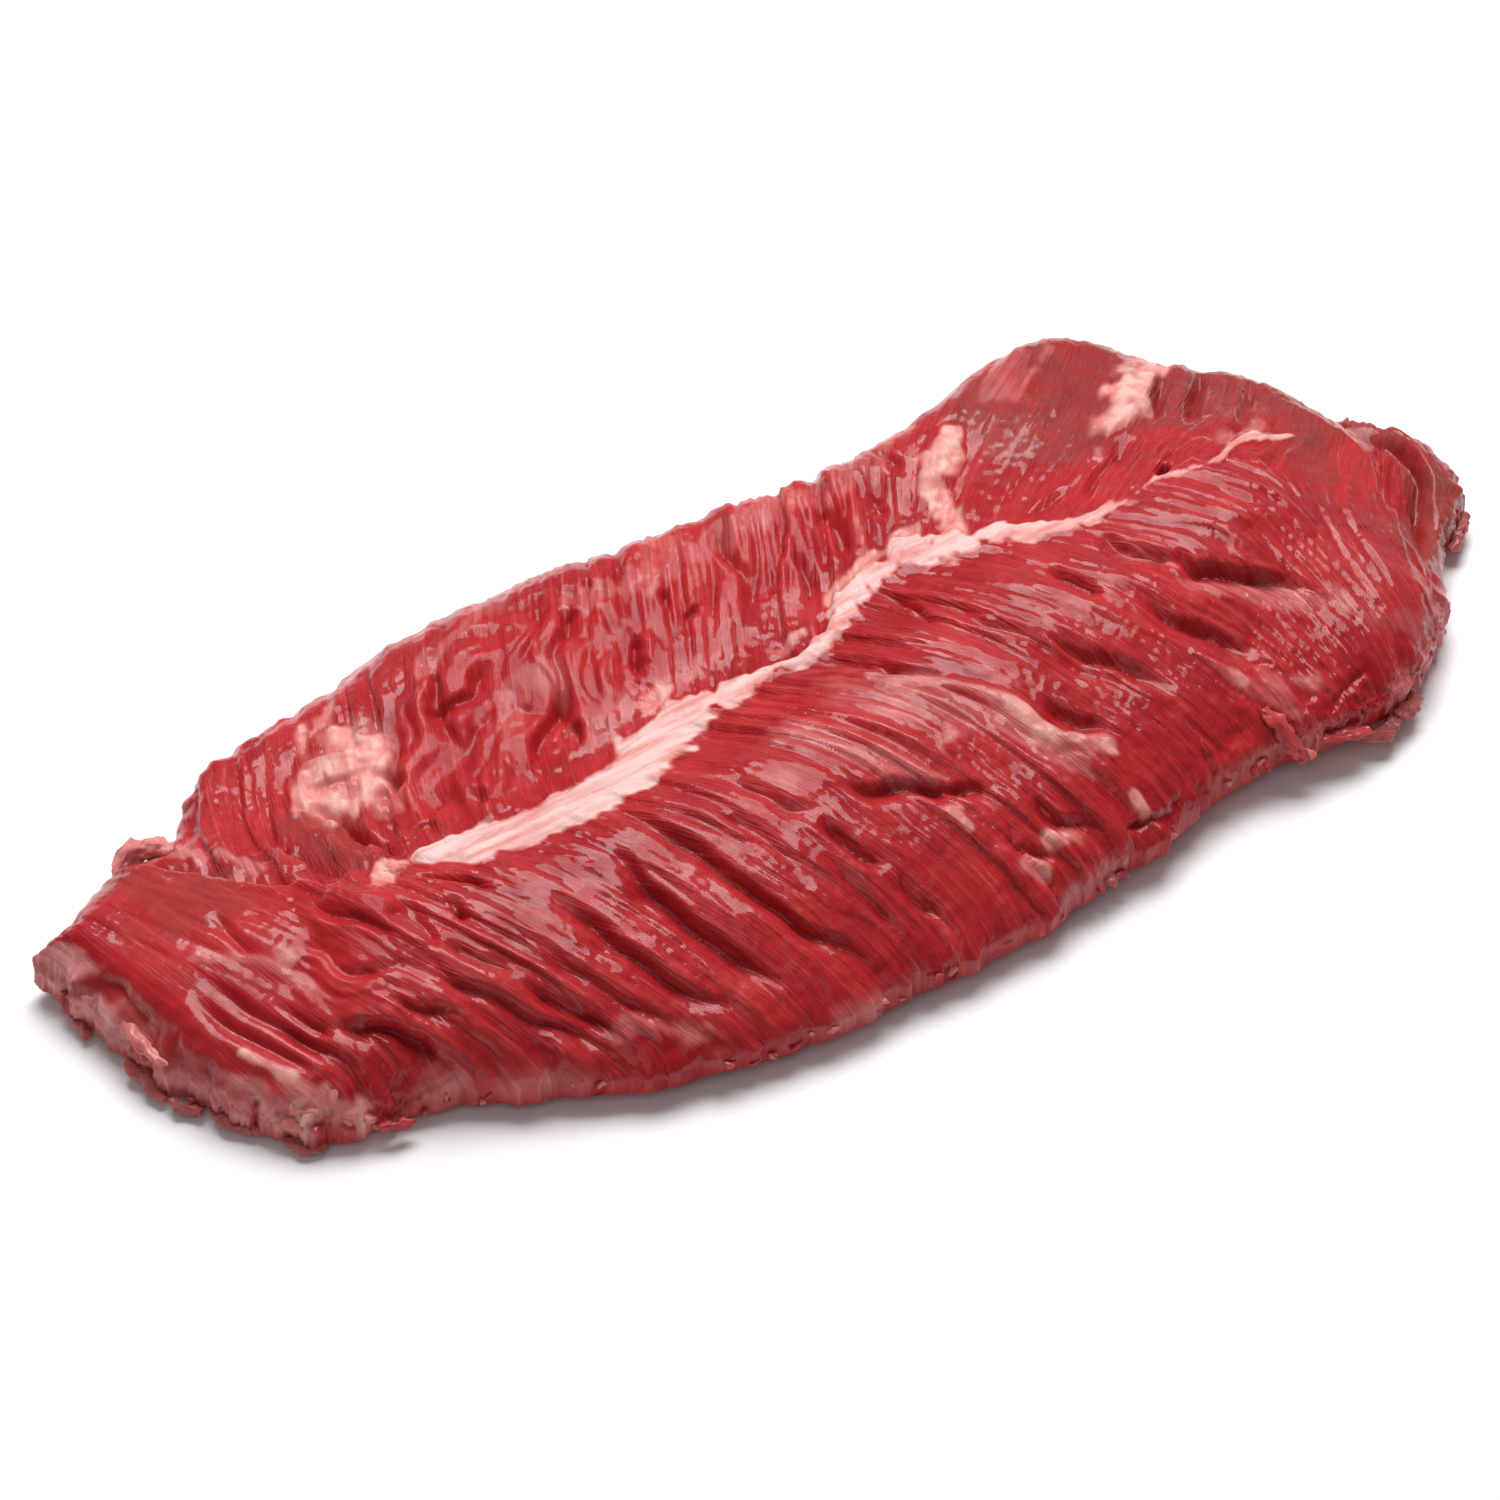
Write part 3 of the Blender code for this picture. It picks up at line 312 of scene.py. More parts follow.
# Threads and crumbs of muscle along the whole rim: how many, and how far they reach.
FRINGE = 90
FRINGE_REACH = (1.6, 4.6)
# The rim's sides with crumbs: the side, which way is outwards, and its share of them.
FRINGE_SIDES = [(FRONT, -1, 0.4), (RIGHT, -1, 0.15), (LEFT, 1, 0.15), (BACK, 1, 0.3)]
# How uneven a scrap is: the share that its surface swells by, and how far it bends.
SCRAP_SWELL, SCRAP_BEND = 0.2, 0.16

# Where the upper skin is parted into a left and a right piece: down the crease that crosses both lobes.
PARTING = [
    (17, -75), (17, -67), (13, -57), (11, -50), (10, -42), (13, -28), (16, -12), (13, -4), (9, 4),
    (8, 12), (4, 22), (8, 31), (10, 36), (11, 44), (16, 52), (20, 75),
]

# Soft folds where the lobe is crumpled: width, reach along, height, and their pattern's number.
BULGES = [(7.5, 14.0, 1.8, 64), (3.2, 7.0, 0.6, 65), (1.7, 5.0, 0.26, 67)]
# The groove inside a torn rim: how far in it lies, its half width and its depth.
GROOVE_IN, GROOVE_WIDTH, GROOVE_DEPTH = 4.5, 0.9, 1.1

MAP_LEFT, MAP_FRONT = -172.0, -84.0
MAP_LENGTH, MAP_WIDTH = 350.0, 172.0
SLOW_STEP = 1.0
# How far the traced lines waver, and how far a value at the edge reaches.
WAVER = 0.45
EDGE_REACH = 22.0

# What the finish reads from each corner of a mesh, in two sets of four; deep and lift carry the painted shade
# in creases and the painted highlight on raised tops.
LAYERS = {"tissue": ("sinew", "fat", "silver", "brown"), "surface": ("deep", "lift", "dull", "tight")}
# Share of these that the underside keeps.
UNDERSIDE = 0.35
# The grain's UV map goes up by this for each millimetre.
UV_PER_MM = 0.1
# Corners of a block that are closer than this to its side are on it.
HAIR = 1e-4

# Constants of the moist surface.
MOIST = {"Coat Roughness": 0.1, "Coat IOR": 1.4, "Subsurface Weight": 0.4,
         "Subsurface Radius": (1.0, 0.2, 0.15), "Subsurface Scale": 0.002, "Specular IOR Level": 0.13}
# The photograph's width in pixels, the steak's scale in it, the distance that it is taken from and the place
# that the camera looks at, in millimetres, and the camera's sensor.
PHOTO_WIDTH = 1500
PIXELS_PER_MM = 4.92
PHOTO_DISTANCE = 1150.0
CAMERA_AIM = (-11.5, 2.0, 12.0)
SENSOR = 36.0
# Lamps: name, place, side and power.
LAMPS = [("back light", (0.36, 0.51, 1.25), 1.05, 27.5), ("front light", (-0.9, -0.9, 1.4), 1.2, 4.0)]
SURROUND = 0.14


def smooth_curve(points, count):
    """Evenly spaced points along a smooth curve through the given ones."""
    given = np.array(points, float)
    padded = np.vstack([2 * given[0] - given[1], given, 2 * given[-1] - given[-2]])
    t = np.linspace(0, 1, 13)[:-1, None]
    pieces = []
    for a, b, c, d in zip(padded[:-3], padded[1:-2], padded[2:-1], padded[3:]):
        bend = (2 * a - 5 * b + 4 * c - d) * t**2 + (3 * b - a - 3 * c + d) * t**3
        pieces.append(0.5 * (2 * b + (c - a) * t + bend))
    curve = np.vstack(pieces + [given[-1:]])
    travelled = np.r_[0, np.cumsum(np.linalg.norm(np.diff(curve[:, :2], axis=0), axis=1))]
    return along_curve(curve, np.linspace(0, travelled[-1], count), travelled)


def along_curve(curve, share, knots=None):
    """Points on a curve at the given shares of its length."""
    knots = np.linspace(0, 1, len(curve)) if knots is None else knots
    return np.stack([np.interp(share, knots, column) for column in curve.T], -1)


def plan(s, t):
    """Plan position of a point of the skin, s from left to right and t from front to back."""
    front, back = (along_curve(smooth_curve(side, 400), s) for side in (FRONT, BACK))
    left, right = (along_curve(smooth_curve(side, 400), t) for side in (LEFT, RIGHT))
    s, t = s[..., None], t[..., None]
    corners = (1 - s) * (1 - t) * np.array(FRONT[0]) + s * (1 - t) * np.array(FRONT[-1])
    corners = corners + (1 - s) * t * np.array(BACK[0]) + s * t * np.array(BACK[-1])
    return (1 - t) * front + t * back + (1 - s) * left + s * right - corners


def soft_step(v):
    """A smooth rise from 0 to 1."""
    v = np.clip(v, 0, 1)
    return v * v * (3 - 2 * v)


class Map:
    """A square-celled map of the plan, in millimetres, that values are worked out on and read back from."""

    def __init__(self, step):
        self.step = step
        self.shape = (int(MAP_WIDTH / step), int(MAP_LENGTH / step))
        rows, columns = np.indices(self.shape)
        self.x = MAP_LEFT + columns * step
        self.y = MAP_FRONT + rows * step

    def read(self, values, x, y):
        """The values at any plan positions, blended between the cells."""
        column = np.clip((x - MAP_LEFT) / self.step, 0, self.shape[1] - 1.001)
        row = np.clip((y - MAP_FRONT) / self.step, 0, self.shape[0] - 1.001)
        c, r = column.astype(int), row.astype(int)
        u, v = column - c, row - r
        near = values[r, c] * (1 - u) + values[r, c + 1] * u
        far = values[r + 1, c] * (1 - u) + values[r + 1, c + 1] * u
        return near * (1 - v) + far * v

    def blur(self, values, reach):
        """The values softened over the given reach in millimetres."""
        fy = np.fft.fftfreq(self.shape[0], self.step)[:, None]
        fx = np.fft.rfftfreq(self.shape[1], self.step)[None, :]
        soft = np.exp(-2 * (math.pi * reach) ** 2 * (fx**2 + fy**2))
        return np.fft.irfft2(np.fft.rfft2(values) * soft, self.shape)

    def noise(self, reach, seed):
        """Smooth bumps of about the given size, with a spread of one."""
        rough = np.random.default_rng(seed).standard_normal(self.shape)
        soft = self.blur(rough, reach)
        return soft / soft.std()

    def along_grain(self, values, way, reach):
        """The values drawn out along the muscle, with a spread of one."""
        total = 0.0
        for sign in (1, -1):
            dx, dy = sign * self.step * way[0], sign * self.step * way[1]
            drawn, span = values, self.step
            while span < reach:
                x, y = self.x + dx, self.y + dy
                drawn = 0.5 * (drawn + self.read(drawn, x, y))
                dx, dy = dx + self.read(dx, x, y), dy + self.read(dy, x, y)
                span *= 2
            total = total + drawn
        return total / total.std()


def run_distance(x, y, start, end):
    """Distance to a straight run, and how far along it the nearest place is."""
    (ax, ay), (dx, dy) = start, (end[0] - start[0], end[1] - start[1])
    share = np.clip(((x - ax) * dx + (y - ay) * dy) / (dx * dx + dy * dy), 0, 1)
    return np.hypot(x - ax - share * dx, y - ay - share * dy), share


def way_distance(x, y, way):
    """Distance to a way, which side of it the point is on, and how far along it the nearest place is."""
    curve = smooth_curve([p[:2] for p in way], max(6, 4 * len(way)))
    best = np.full(np.shape(x), 1e9)
    side = np.zeros(np.shape(x))
    share = np.zeros(np.shape(x))
    for k, (start, end) in enumerate(zip(curve, curve[1:])):
        gap, h = run_distance(x, y, start, end)
        nearer = gap < best
        best = np.where(nearer, gap, best)
        turn = (end[0] - start[0]) * (y - start[1]) - (end[1] - start[1]) * (x - start[0])
        side = np.where(nearer, np.sign(turn), side)
        share = np.where(nearer, (k + h) / (len(curve) - 1), share)
    return best, side, share


def edge_distance(area):
    """Distance in from the outline, negative outside."""
    sides = [smooth_curve(FRONT, 120), smooth_curve(RIGHT, 60)]
    sides += [smooth_curve(BACK, 140)[::-1], smooth_curve(LEFT, 50)[::-1]]
    ring = np.vstack([one[:-1] for one in sides])
    best = np.full(area.shape, 1e9)
    inside = np.zeros(area.shape, bool)
    for (ax, ay), (bx, by) in zip(ring, np.roll(ring, -1, axis=0)):
        best = np.minimum(best, run_distance(area.x, area.y, (ax, ay), (bx, by))[0])
        crosses = (ay > area.y) != (by > area.y)
        inside ^= crosses & (area.x < ax + (area.y - ay) / (by - ay + 1e-12) * (bx - ax))
    return np.where(inside, best, -best)


def near(area, way, reach):
    """The part of the map within reach of a way."""
    spots = np.array([p[:2] for p in way], float)
    low, high = spots.min(axis=0) - reach, spots.max(axis=0) + reach
    c0, c1 = (int((v - MAP_LEFT) / area.step) for v in (low[0], high[0]))
    r0, r1 = (int((v - MAP_FRONT) / area.step) for v in (low[1], high[1]))
    return slice(max(r0, 0), max(r1 + 2, 0)), slice(max(c0, 0), max(c1 + 2, 0))


def crease(area, relief, left, right, depth, way, sharpness=1.8):
    """Presses one crease into the relief, steeper on a narrow left side, fading out at its ends."""
    steps = left < 2 and right > 2.4
    if steps:
        left, right, depth = 1.25 * left, 1.7 * right, 0.85 * depth
    part = near(area, way, max(left, right) + 2)
    gap, side, share = way_distance(area.wx[part], area.wy[part], way)
    power = np.where((side > 0) & steps, 1.2, sharpness + 0.3 * steps)
    fall = np.clip(1 - gap / np.where(side > 0, left, right), 0, 1) ** power
    relief[part] -= depth * fall * np.clip(np.minimum(share, 1 - share) * 3.6 + 0.12, 0, 1)


def raise_up(area, relief, width, height, way):
    """Raises one rounded piece out of the relief."""
    part = near(area, way, width + 2)
    gap, _, share = way_distance(area.wx[part], area.wy[part], way)
    q = np.clip(1 - (gap / width) ** 2, 0, 1)
    relief[part] += height * q * np.clip(np.minimum(share, 1 - share) * 6 + 0.4, 0, 1)


def blend_places(x, y, places, values, reach):
    """Values given at places, blended smoothly everywhere else."""
    total, weight = 0.0, 1e-12
    for place, value in zip(places, values):
        w = np.exp(-((x - place[0]) ** 2 + (y - place[1]) ** 2) / (2 * reach**2)) + 1e-9
        total = total + w * value
        weight = weight + w
    return total / weight


def smooth_height(area):
    """Height of the upper side between the named places."""
    c = np.array(HEIGHTS, float)
    mean = c[:, 2].mean()
    gaps = (c[:, None, 0] - c[None, :, 0]) ** 2 + (c[:, None, 1] - c[None, :, 1]) ** 2
    pull = np.exp(-gaps / (2 * HEIGHT_REACH**2)) + 0.12 * np.eye(len(c))
    shares = np.linalg.solve(pull, c[:, 2] - mean)
    z = np.full(area.shape, mean)
    for (cx, cy, _), k in zip(c, shares):
        z += k * np.exp(-((area.x - cx) ** 2 + (area.y - cy) ** 2) / (2 * HEIGHT_REACH**2))
    return z


def rounded(rise, height, share, power):
    """Height of the upper side, rounded down at the edge to the top of the rim's wall."""
    start = rise + RIM_WALL / 2
    return start + (height - start) * (1 - (1 - np.clip(share, 0, 1)) ** 2) ** power


def grain(area):
    """The angle of the muscle everywhere, in radians."""
    gap, side, _ = way_distance(area.x, area.y, LOBE_SEAM)
    back = soft_step(0.5 + side * gap / 6)
    total = 0.0
    for places, share in ((FRONT_GRAIN, 1 - back), (BACK_GRAIN, back)):
        turns = np.exp(1j * np.radians(np.array([2 * p[2] for p in places])))
        total = total + share * blend_places(area.x, area.y, places, turns, GRAIN_REACH)
    return np.angle(total) / 2


def headed(angle):
    """The muscle's direction everywhere, always towards the back."""
    flip = np.where(np.sin(angle) < 0, -1, 1)
    return flip * np.cos(angle), flip * np.sin(angle)


def band(area, way):
    """How far inside a band of varying width each place is: 1 on its middle line, 0 at its edge."""
    widths = np.array([p[2] for p in way], float)
    gap, _, share = way_distance(area.wx, area.wy, way)
    return 1 - gap / np.interp(share, np.linspace(0, 1, len(widths)), widths)


def grain_lengths(area, way):
    """Distances across and along the muscle's grain, that a pattern of fibres can be laid out on."""
    rows, columns = area.shape
    bend_y = 2 - 2 * np.cos(math.pi * np.arange(2 * rows) / rows)
    bend_x = 2 - 2 * np.cos(math.pi * np.arange(2 * columns) / columns)
    bend = bend_y[:, None] + bend_x[None, :]
    bend[0, 0] = 1.0
    out = []
    for way_x, way_y in ((way[1], -way[0]), way):
        step_x, step_y = 0.5 * (way_x[:, 1:] + way_x[:, :-1]), 0.5 * (way_y[1:] + way_y[:-1])
        source = np.zeros(area.shape)
        source[:, 1:] += step_x
        source[:, :-1] -= step_x
        source[1:] += step_y
        source[:-1] -= step_y
        mirrored = np.block([[source, source[:, ::-1]], [source[::-1], source[::-1, ::-1]]])
        out.append(np.fft.ifft2(np.fft.fft2(mirrored) / bend).real[:rows, :columns] * area.step)
    return out


class Form:
    """Every map that the steak's pieces are shaped and coloured from."""

    def __init__(self, step):
        area = self.area = Map(step)
        area.wx = area.x + WAVER * area.noise(3.0, 31)
        area.wy = area.y + WAVER * area.noise(3.0, 32)
        slow = self.slow = Map(SLOW_STEP)
        angle = grain(slow)
        double = [slow.read(f(2 * angle), area.x, area.y) for f in (np.cos, np.sin)]
        self.way, self.slow_way = headed(np.arctan2(double[1], double[0]) / 2), headed(angle)
        self.inward = edge_distance(area)
        self.inward_y, self.inward_x = np.gradient(area.blur(self.inward, 1.0), area.step)
        self.rise, self.rounding, self.power = (
            blend_places(area.x, area.y, EDGES, [p[k] for p in EDGES], EDGE_REACH) for k in (2, 3, 4))
        self.height = smooth_height(area)
        upper = rounded(self.rise, self.height, self.inward / self.rounding, self.power)
        self.slope_y, self.slope_x = np.gradient(upper, area.step)
        lengths = grain_lengths(slow, self.slow_way)
        self.across, self.along = (slow.read(one, area.x, area.y) for one in lengths)
        self.fringe_x = 0.45 * area.noise(1.0, 34) + 0.5 * area.noise(3.5, 35)
        self.fringe_y = 0.45 * area.noise(1.0, 36) + 0.5 * area.noise(3.5, 37)
        self.ragged = 0.22 + 0.78 * self.patches(RAGGED, area.noise(3.0, 38))
        self.under = self.drawn(6.0, 30.0, 66)
        self.tissue()
        self.relieve()

    def at(self, x, y, *names):
        """The named maps' values at the given plan positions."""
        return [self.area.read(getattr(self, name), x, y) for name in names]

    def drawn(self, width, reach, seed):
        """Noise of the given width across the muscle, drawn out along it."""
        if width < 3:
            return self.area.along_grain(self.area.noise(width / 2.6, seed), self.way, reach)
        pattern = self.slow.along_grain(self.slow.noise(width / 2.6, seed), self.slow_way, reach)
        return self.slow.read(pattern, self.area.x, self.area.y)

    def patches(self, places, ragged):
        """How much each place lies in one of the given patches, with ragged edges."""
        area = self.area
        total = np.zeros(area.shape)
        for width, strength, way in places:
            part = near(area, way, width + 3)
            gap = way_distance(area.wx[part], area.wy[part], way)[0]
            inside = soft_step((1.15 - gap / width + 0.28 * ragged[part]) * 1.6)
            total[part] = np.maximum(total[part], strength * inside)
        return total

    def tissue(self):
        """Where the sinew, the fat, the silvery skin and the browned muscle are."""
        area = self.area
        torn = self.drawn(1.6, 4.0, 41)
        patchy = area.noise(1.6, 42)
        self.inside = band(area, SINEW)
        shows = self.shows = np.interp(area.x, *np.array(SINEW_SHOWS).T)
        level = (np.cos(0.35 + 0 * area.x), np.sin(0.35 + 0 * area.x))
        threads = area.along_grain(area.noise(0.7, 44), level, 8.0)
        ragged = np.interp(area.x, (-45, -12, 70), (1.0, 2.4, 2.4))
        whole = self.inside + ragged * (0.06 * torn + 0.1 * patchy) - (1 - shows) * (0.75 + 0.35 * threads)
        self.sinew = soft_step(0.5 + whole * 2.4) * (0.6 + 0.4 * shows)
        self.fat = self.patches(FAT, 0.6 * torn + 0.6 * patchy) * (1 - self.sinew)
        self.fat *= 0.6 + 0.4 * soft_step(0.6 + 0.8 * patchy)
        self.silver = self.patches(SILVER, 1.3 * torn) * (1 - self.sinew) * (1 - self.fat)
        edge = np.exp(-(np.clip(self.inward, 0, None) / 1.3) ** 2)
        edge *= soft_step(0.35 + 0.8 * area.noise(4.0, 45))
        self.silver = np.maximum(self.silver, 0.9 * edge)
        self.brown = self.patches(BROWN, area.noise(5.0, 43))
        self.crumpled, self.ribbed = (self.patches(places, 0.5 * patchy) * (1 - self.sinew)
                                      for places in (CRUMPLED, RIBBED))
        self.dull = np.maximum(self.crumpled, self.ribbed)
        self.tight = self.patches(TIGHT, 0.5 * patchy)

    def shingles(self, width, height, wander, seed):
        """Folds that overlap like shingles across the muscle, each fading in and out along it."""
        phase = self.across / width + wander * self.drawn(1.4 * width, 8 * width, seed)
        share = phase - np.floor(phase)
        strength = soft_step(0.4 + 0.8 * self.drawn(1.5 * width, 5 * width, seed + 1))
        return height * strength * (1 - share**1.5 - 0.6)

    def bundles(self):
        """Shingled folds and bundles of fibre, calm where tight muscle lies; relieve calms them where the
        sinew lies.
        """
        relief = sum(self.shingles(*one) for one in SHINGLES)
        busy = 0.45 + 0.55 * soft_step(0.5 + 0.7 * self.area.noise(7.0, 56))
        for width, reach, height, seed in BUNDLES:
            share = busy if width < 3 else 1.0
            relief += height * share * (np.abs(self.drawn(width, reach, seed)) - 0.8)
        return relief * (1 - 0.65 * self.crumpled) * (1 + 0.9 * self.ribbed) * (1 - self.tight)

    def bulges(self):
        """Soft bent folds where the lobe is crumpled."""
        area = self.area
        bent_x, bent_y = area.x + 2.2 * area.noise(4.5, 57), area.y + 2.2 * area.noise(4.5, 58)
        relief = 0.0
        for width, reach, height, seed in BULGES:
            bulge = area.along_grain(area.noise(width / 2.6, seed), self.way, reach)
            relief += height * self.crumpled * (np.abs(area.read(bulge, bent_x, bent_y)) ** 0.75 - 0.8)
        return relief

    def relieve(self):
        """Everything that stands out of or cuts into the smooth form, along its surface."""
        area = self.area
        cord = soft_step(1.6 * self.inside)
        relief = self.bundles() * (1 - 0.85 * cord) + self.bulges()
        for one in CREASES:
            crease(area, relief, *one)
        for one in LEDGES:
            crease(area, relief, *one, sharpness=0.8)
        for one in RAISED:
            raise_up(area, relief, *one)
        groove = np.exp(-((self.inward - GROOVE_IN - 0.9 * area.noise(3.0, 54)) / GROOVE_WIDTH) ** 2)
        relief -= GROOVE_DEPTH * groove * soft_step(0.3 + 0.6 * area.noise(5.0, 55)) * self.ragged
        lumps = np.abs(area.noise(1.0, 51)) + 0.5 * np.abs(area.noise(0.5, 52))
        relief += self.fat * (0.28 * lumps - 0.05)
        grit = area.noise(0.42, 59) * 0.035 + 0.05 * self.drawn(0.8, 3.5, 60)
        relief += grit * (1 - 0.5 * self.crumpled) * (1 - 0.6 * self.tight)
        level = (np.ones(area.shape), np.zeros(area.shape))
        strands = np.abs(area.along_grain(area.noise(0.6, 53), level, 9.0))
        fatty = soft_step((area.x + 18) / 14) * soft_step((66 - area.x) / 8)
        uneven = strands + fatty * (1.3 * lumps - strands)
        relief += self.sinew * (0.3 * uneven - 0.1) + SINEW_RISE * cord * self.shows
        self.relief = area.blur(relief, 0.22)
        # How far each place lies below its surroundings: the finish paints shade there with the crease
        # colour.
        self.deep = np.clip(area.blur(relief, 1.3) - relief, 0, None)
        # How far each place stands above its surroundings: the finish paints a highlight there, lighter red
        # on the muscle and paler fat on the lumps.
        self.lift = np.clip(relief - area.blur(relief, 2.2), 0, None)


_form = {}


def form_for(sizes):
    step = sizes.map_step
    if step not in _form:
        _form[step] = Form(step)
    return _form[step]


def block(columns, rows, coarser=4):
    """A closed flat block: a fine upper grid, a coarser lower grid, and a wall between their rims."""
    bm = bmesh.new()
    bmesh.ops.create_grid(bm, x_segments=columns, y_segments=rows, size=0.5)
    bmesh.ops.translate(bm, vec=(0, 0, 0.5), verts=bm.verts)
    upper = set(bm.verts)
    bmesh.ops.create_grid(bm, x_segments=columns // coarser, y_segments=rows // coarser, size=0.5)
    lower = [v for v in bm.verts if v not in upper]
    bmesh.ops.translate(bm, vec=(0, 0, -0.5), verts=lower)
    rim = [e for e in bm.edges if e.is_boundary and e.verts[0].co.z < 0]
    bmesh.ops.subdivide_edges(bm, edges=rim, cuts=coarser - 1)
    bmesh.ops.bridge_loops(bm, edges=[e for e in bm.edges if e.is_boundary])
    bmesh.ops.recalc_face_normals(bm, faces=bm.faces)
    return bm


def as_mesh(bm, name):
    """The finished bmesh as a mesh."""
    mesh = bpy.data.meshes.new(name)
    bm.to_mesh(mesh)
    bm.free()
    return mesh


def as_object(mesh):
    """An object at the origin that shows the mesh."""
    obj = bpy.data.objects.new(mesh.name, mesh)
    bpy.context.scene.collection.objects.link(obj)
    return obj


def store(mesh, layer, values):
    """Stores four values for each corner, for the finish to read."""
    attribute = mesh.attributes.new(layer, "FLOAT_COLOR", "POINT")
    attribute.data.foreach_set("color", values.astype(np.float32).ravel())


def store_grain(mesh, lengths):
    """Stores where each corner lies across and along the grain, as the mesh's UV map."""
    corners = np.empty(len(mesh.loops), np.int32)
    mesh.loops.foreach_get("vertex_index", corners)
    values = (lengths * UV_PER_MM)[corners].astype(np.float32)
    mesh.uv_layers.new(name="grain").data.foreach_set("uv", values.ravel())


def closer_at_ends(v, share=0.25):
    """Moves evenly spaced numbers closer together near 0 and 1."""
    return v - share * np.sin(2 * math.pi * v) / (2 * math.pi)


def closer_at_rim(v, near_rim=0.025):
    """Moves evenly spaced numbers much closer together near 0, where the rim's wall is steep."""
    return v * v / (v + near_rim) * (1 + near_rim)


def ripple(place, seed, longest, shortest, waves=40):
    """Uneven waves in every direction, with a spread of about one."""
    rng = np.random.default_rng(seed)
    total = np.zeros(len(place))
    for _ in range(waves):
        way = rng.standard_normal(3)
        way /= np.linalg.norm(way)
        length = shortest * (longest / shortest) ** rng.random()
        total += np.sin(2 * math.pi * (place @ way) / length + rng.random() * 2 * math.pi)
    return total / math.sqrt(waves / 2)


def parting(t):
    """How far along the skin's length the parting is, for each place from front to back."""
    rows = np.linspace(0, 1, 90)
    path = smooth_curve(PARTING, 200)
    along = np.linspace(0.2, 0.9, 500)
    found = []
    for row in rows:
        spots = plan(along, np.full(500, row))
        past = spots[:, 0] - np.interp(spots[:, 1], path[:, 1], path[:, 0])
        found.append(along[np.argmax(past > 0)])
    smooth = np.convolve(np.pad(found, 3, mode="edge"), np.ones(7) / 7, mode="valid")
    return np.interp(t, rows, smooth)


def skin_shares(u, v, left):
    """Shares of the skin's length and breadth for each corner of one half, closer together at the rim."""
    half_way = closer_at_rim(np.minimum(v, 1 - v) * 2) / 2
    t = closer_at_ends(np.where(v < 0.5, half_way, 1 - half_way))
    middle = parting(t)
    from_end = closer_at_rim(u if left else 1 - u)
    return (from_end * middle if left else 1 - from_end * (1 - middle)), t


def skin_heights(form, x, y, inset, upper):
    """Heights of the smooth form, the inset being how far in from the rim each corner is."""
    rise, rounding, power, height, under = form.at(x, y, "rise", "rounding", "power", "height", "under")
    turned = 1 - np.clip(inset / UNDERCUT, 0, 1)
    below = (rise - RIM_WALL / 2) * (1 - (1 - turned**2) ** 0.5)
    below += np.clip(0.5 * under, 0, 1) * soft_step(inset / 6)
    return np.where(upper, rounded(rise, height, inset / rounding, power), below)


def skin(form, x, y, inset, upper):
    """Where the corners lie: on the smooth form, moved out of it by the relief and torn at the rim."""
    slope_x, slope_y, relief = form.at(x, y, "slope_x", "slope_y", "relief")
    steep = np.sqrt(1 + slope_x**2 + slope_y**2)
    lift = np.where(upper, relief, 0) * (0.45 + 0.55 * soft_step(inset / 3.5))
    fringe = np.exp(-inset / 3.5) * np.stack(form.at(x, y, "fringe_x", "fringe_y"))
    place = np.stack([x - lift * slope_x / steep + fringe[0], y - lift * slope_y / steep + fringe[1],
                      skin_heights(form, x, y, inset, upper) + lift / steep], -1)
    ragged, *inwards = form.at(x, y, "ragged", "inward_x", "inward_y")
    torn = 0.45 * ripple(place, 81, 10.0, 2.4) + 0.28 * ripple(place, 82, 2.2, 0.9)
    torn *= np.exp(-inset / 1.6) * (place[:, 2] > 0.5) * ragged
    place[:, :2] -= torn[:, None] * np.stack(inwards, -1)
    place[:, 2] = np.maximum(place[:, 2] + 0.5 * torn, np.where(upper, 0.8, 0))
    return place


def half(name, left, form, columns, rows):
    """One piece of the steak, left or right of the parting, as a closed mesh."""
    bm = block(columns, rows)
    parted = 0.5 if left else -0.5
    for edge in bm.edges:
        if all(abs(v.co.x - parted) < HAIR and v.co.z > 0 for v in edge.verts):
            edge.smooth = False
    mesh = as_mesh(bm, name)
    spots = np.empty(3 * len(mesh.vertices), np.float32)
    mesh.vertices.foreach_get("co", spots)
    spots = spots.reshape(-1, 3).astype(float)
    u, v, upper = spots[:, 0] + 0.5, spots[:, 1] + 0.5, spots[:, 2] > 0
    x, y = plan(*skin_shares(u, v, left)).T
    outer = (v < HAIR) | (v > 1 - HAIR) | ((u < HAIR) if left else (u > 1 - HAIR))
    inset = np.where(outer, 0, np.clip(form.at(x, y, "inward")[0], 0, None))
    place = skin(form, x, y, inset, upper)
    place[:, :2] -= PLAN_CENTRE
    mesh.vertices.foreach_set("co", (place * MM).astype(np.float32).ravel())
    for layer, names in LAYERS.items():
        values = np.stack(form.at(x, y, *names), -1)
        values[~upper] *= UNDERSIDE
        store(mesh, layer, values)
    store_grain(mesh, np.stack(form.at(x, y, "across", "along"), -1))
    mesh.shade_smooth()
    mesh.update()
    return as_object(mesh)


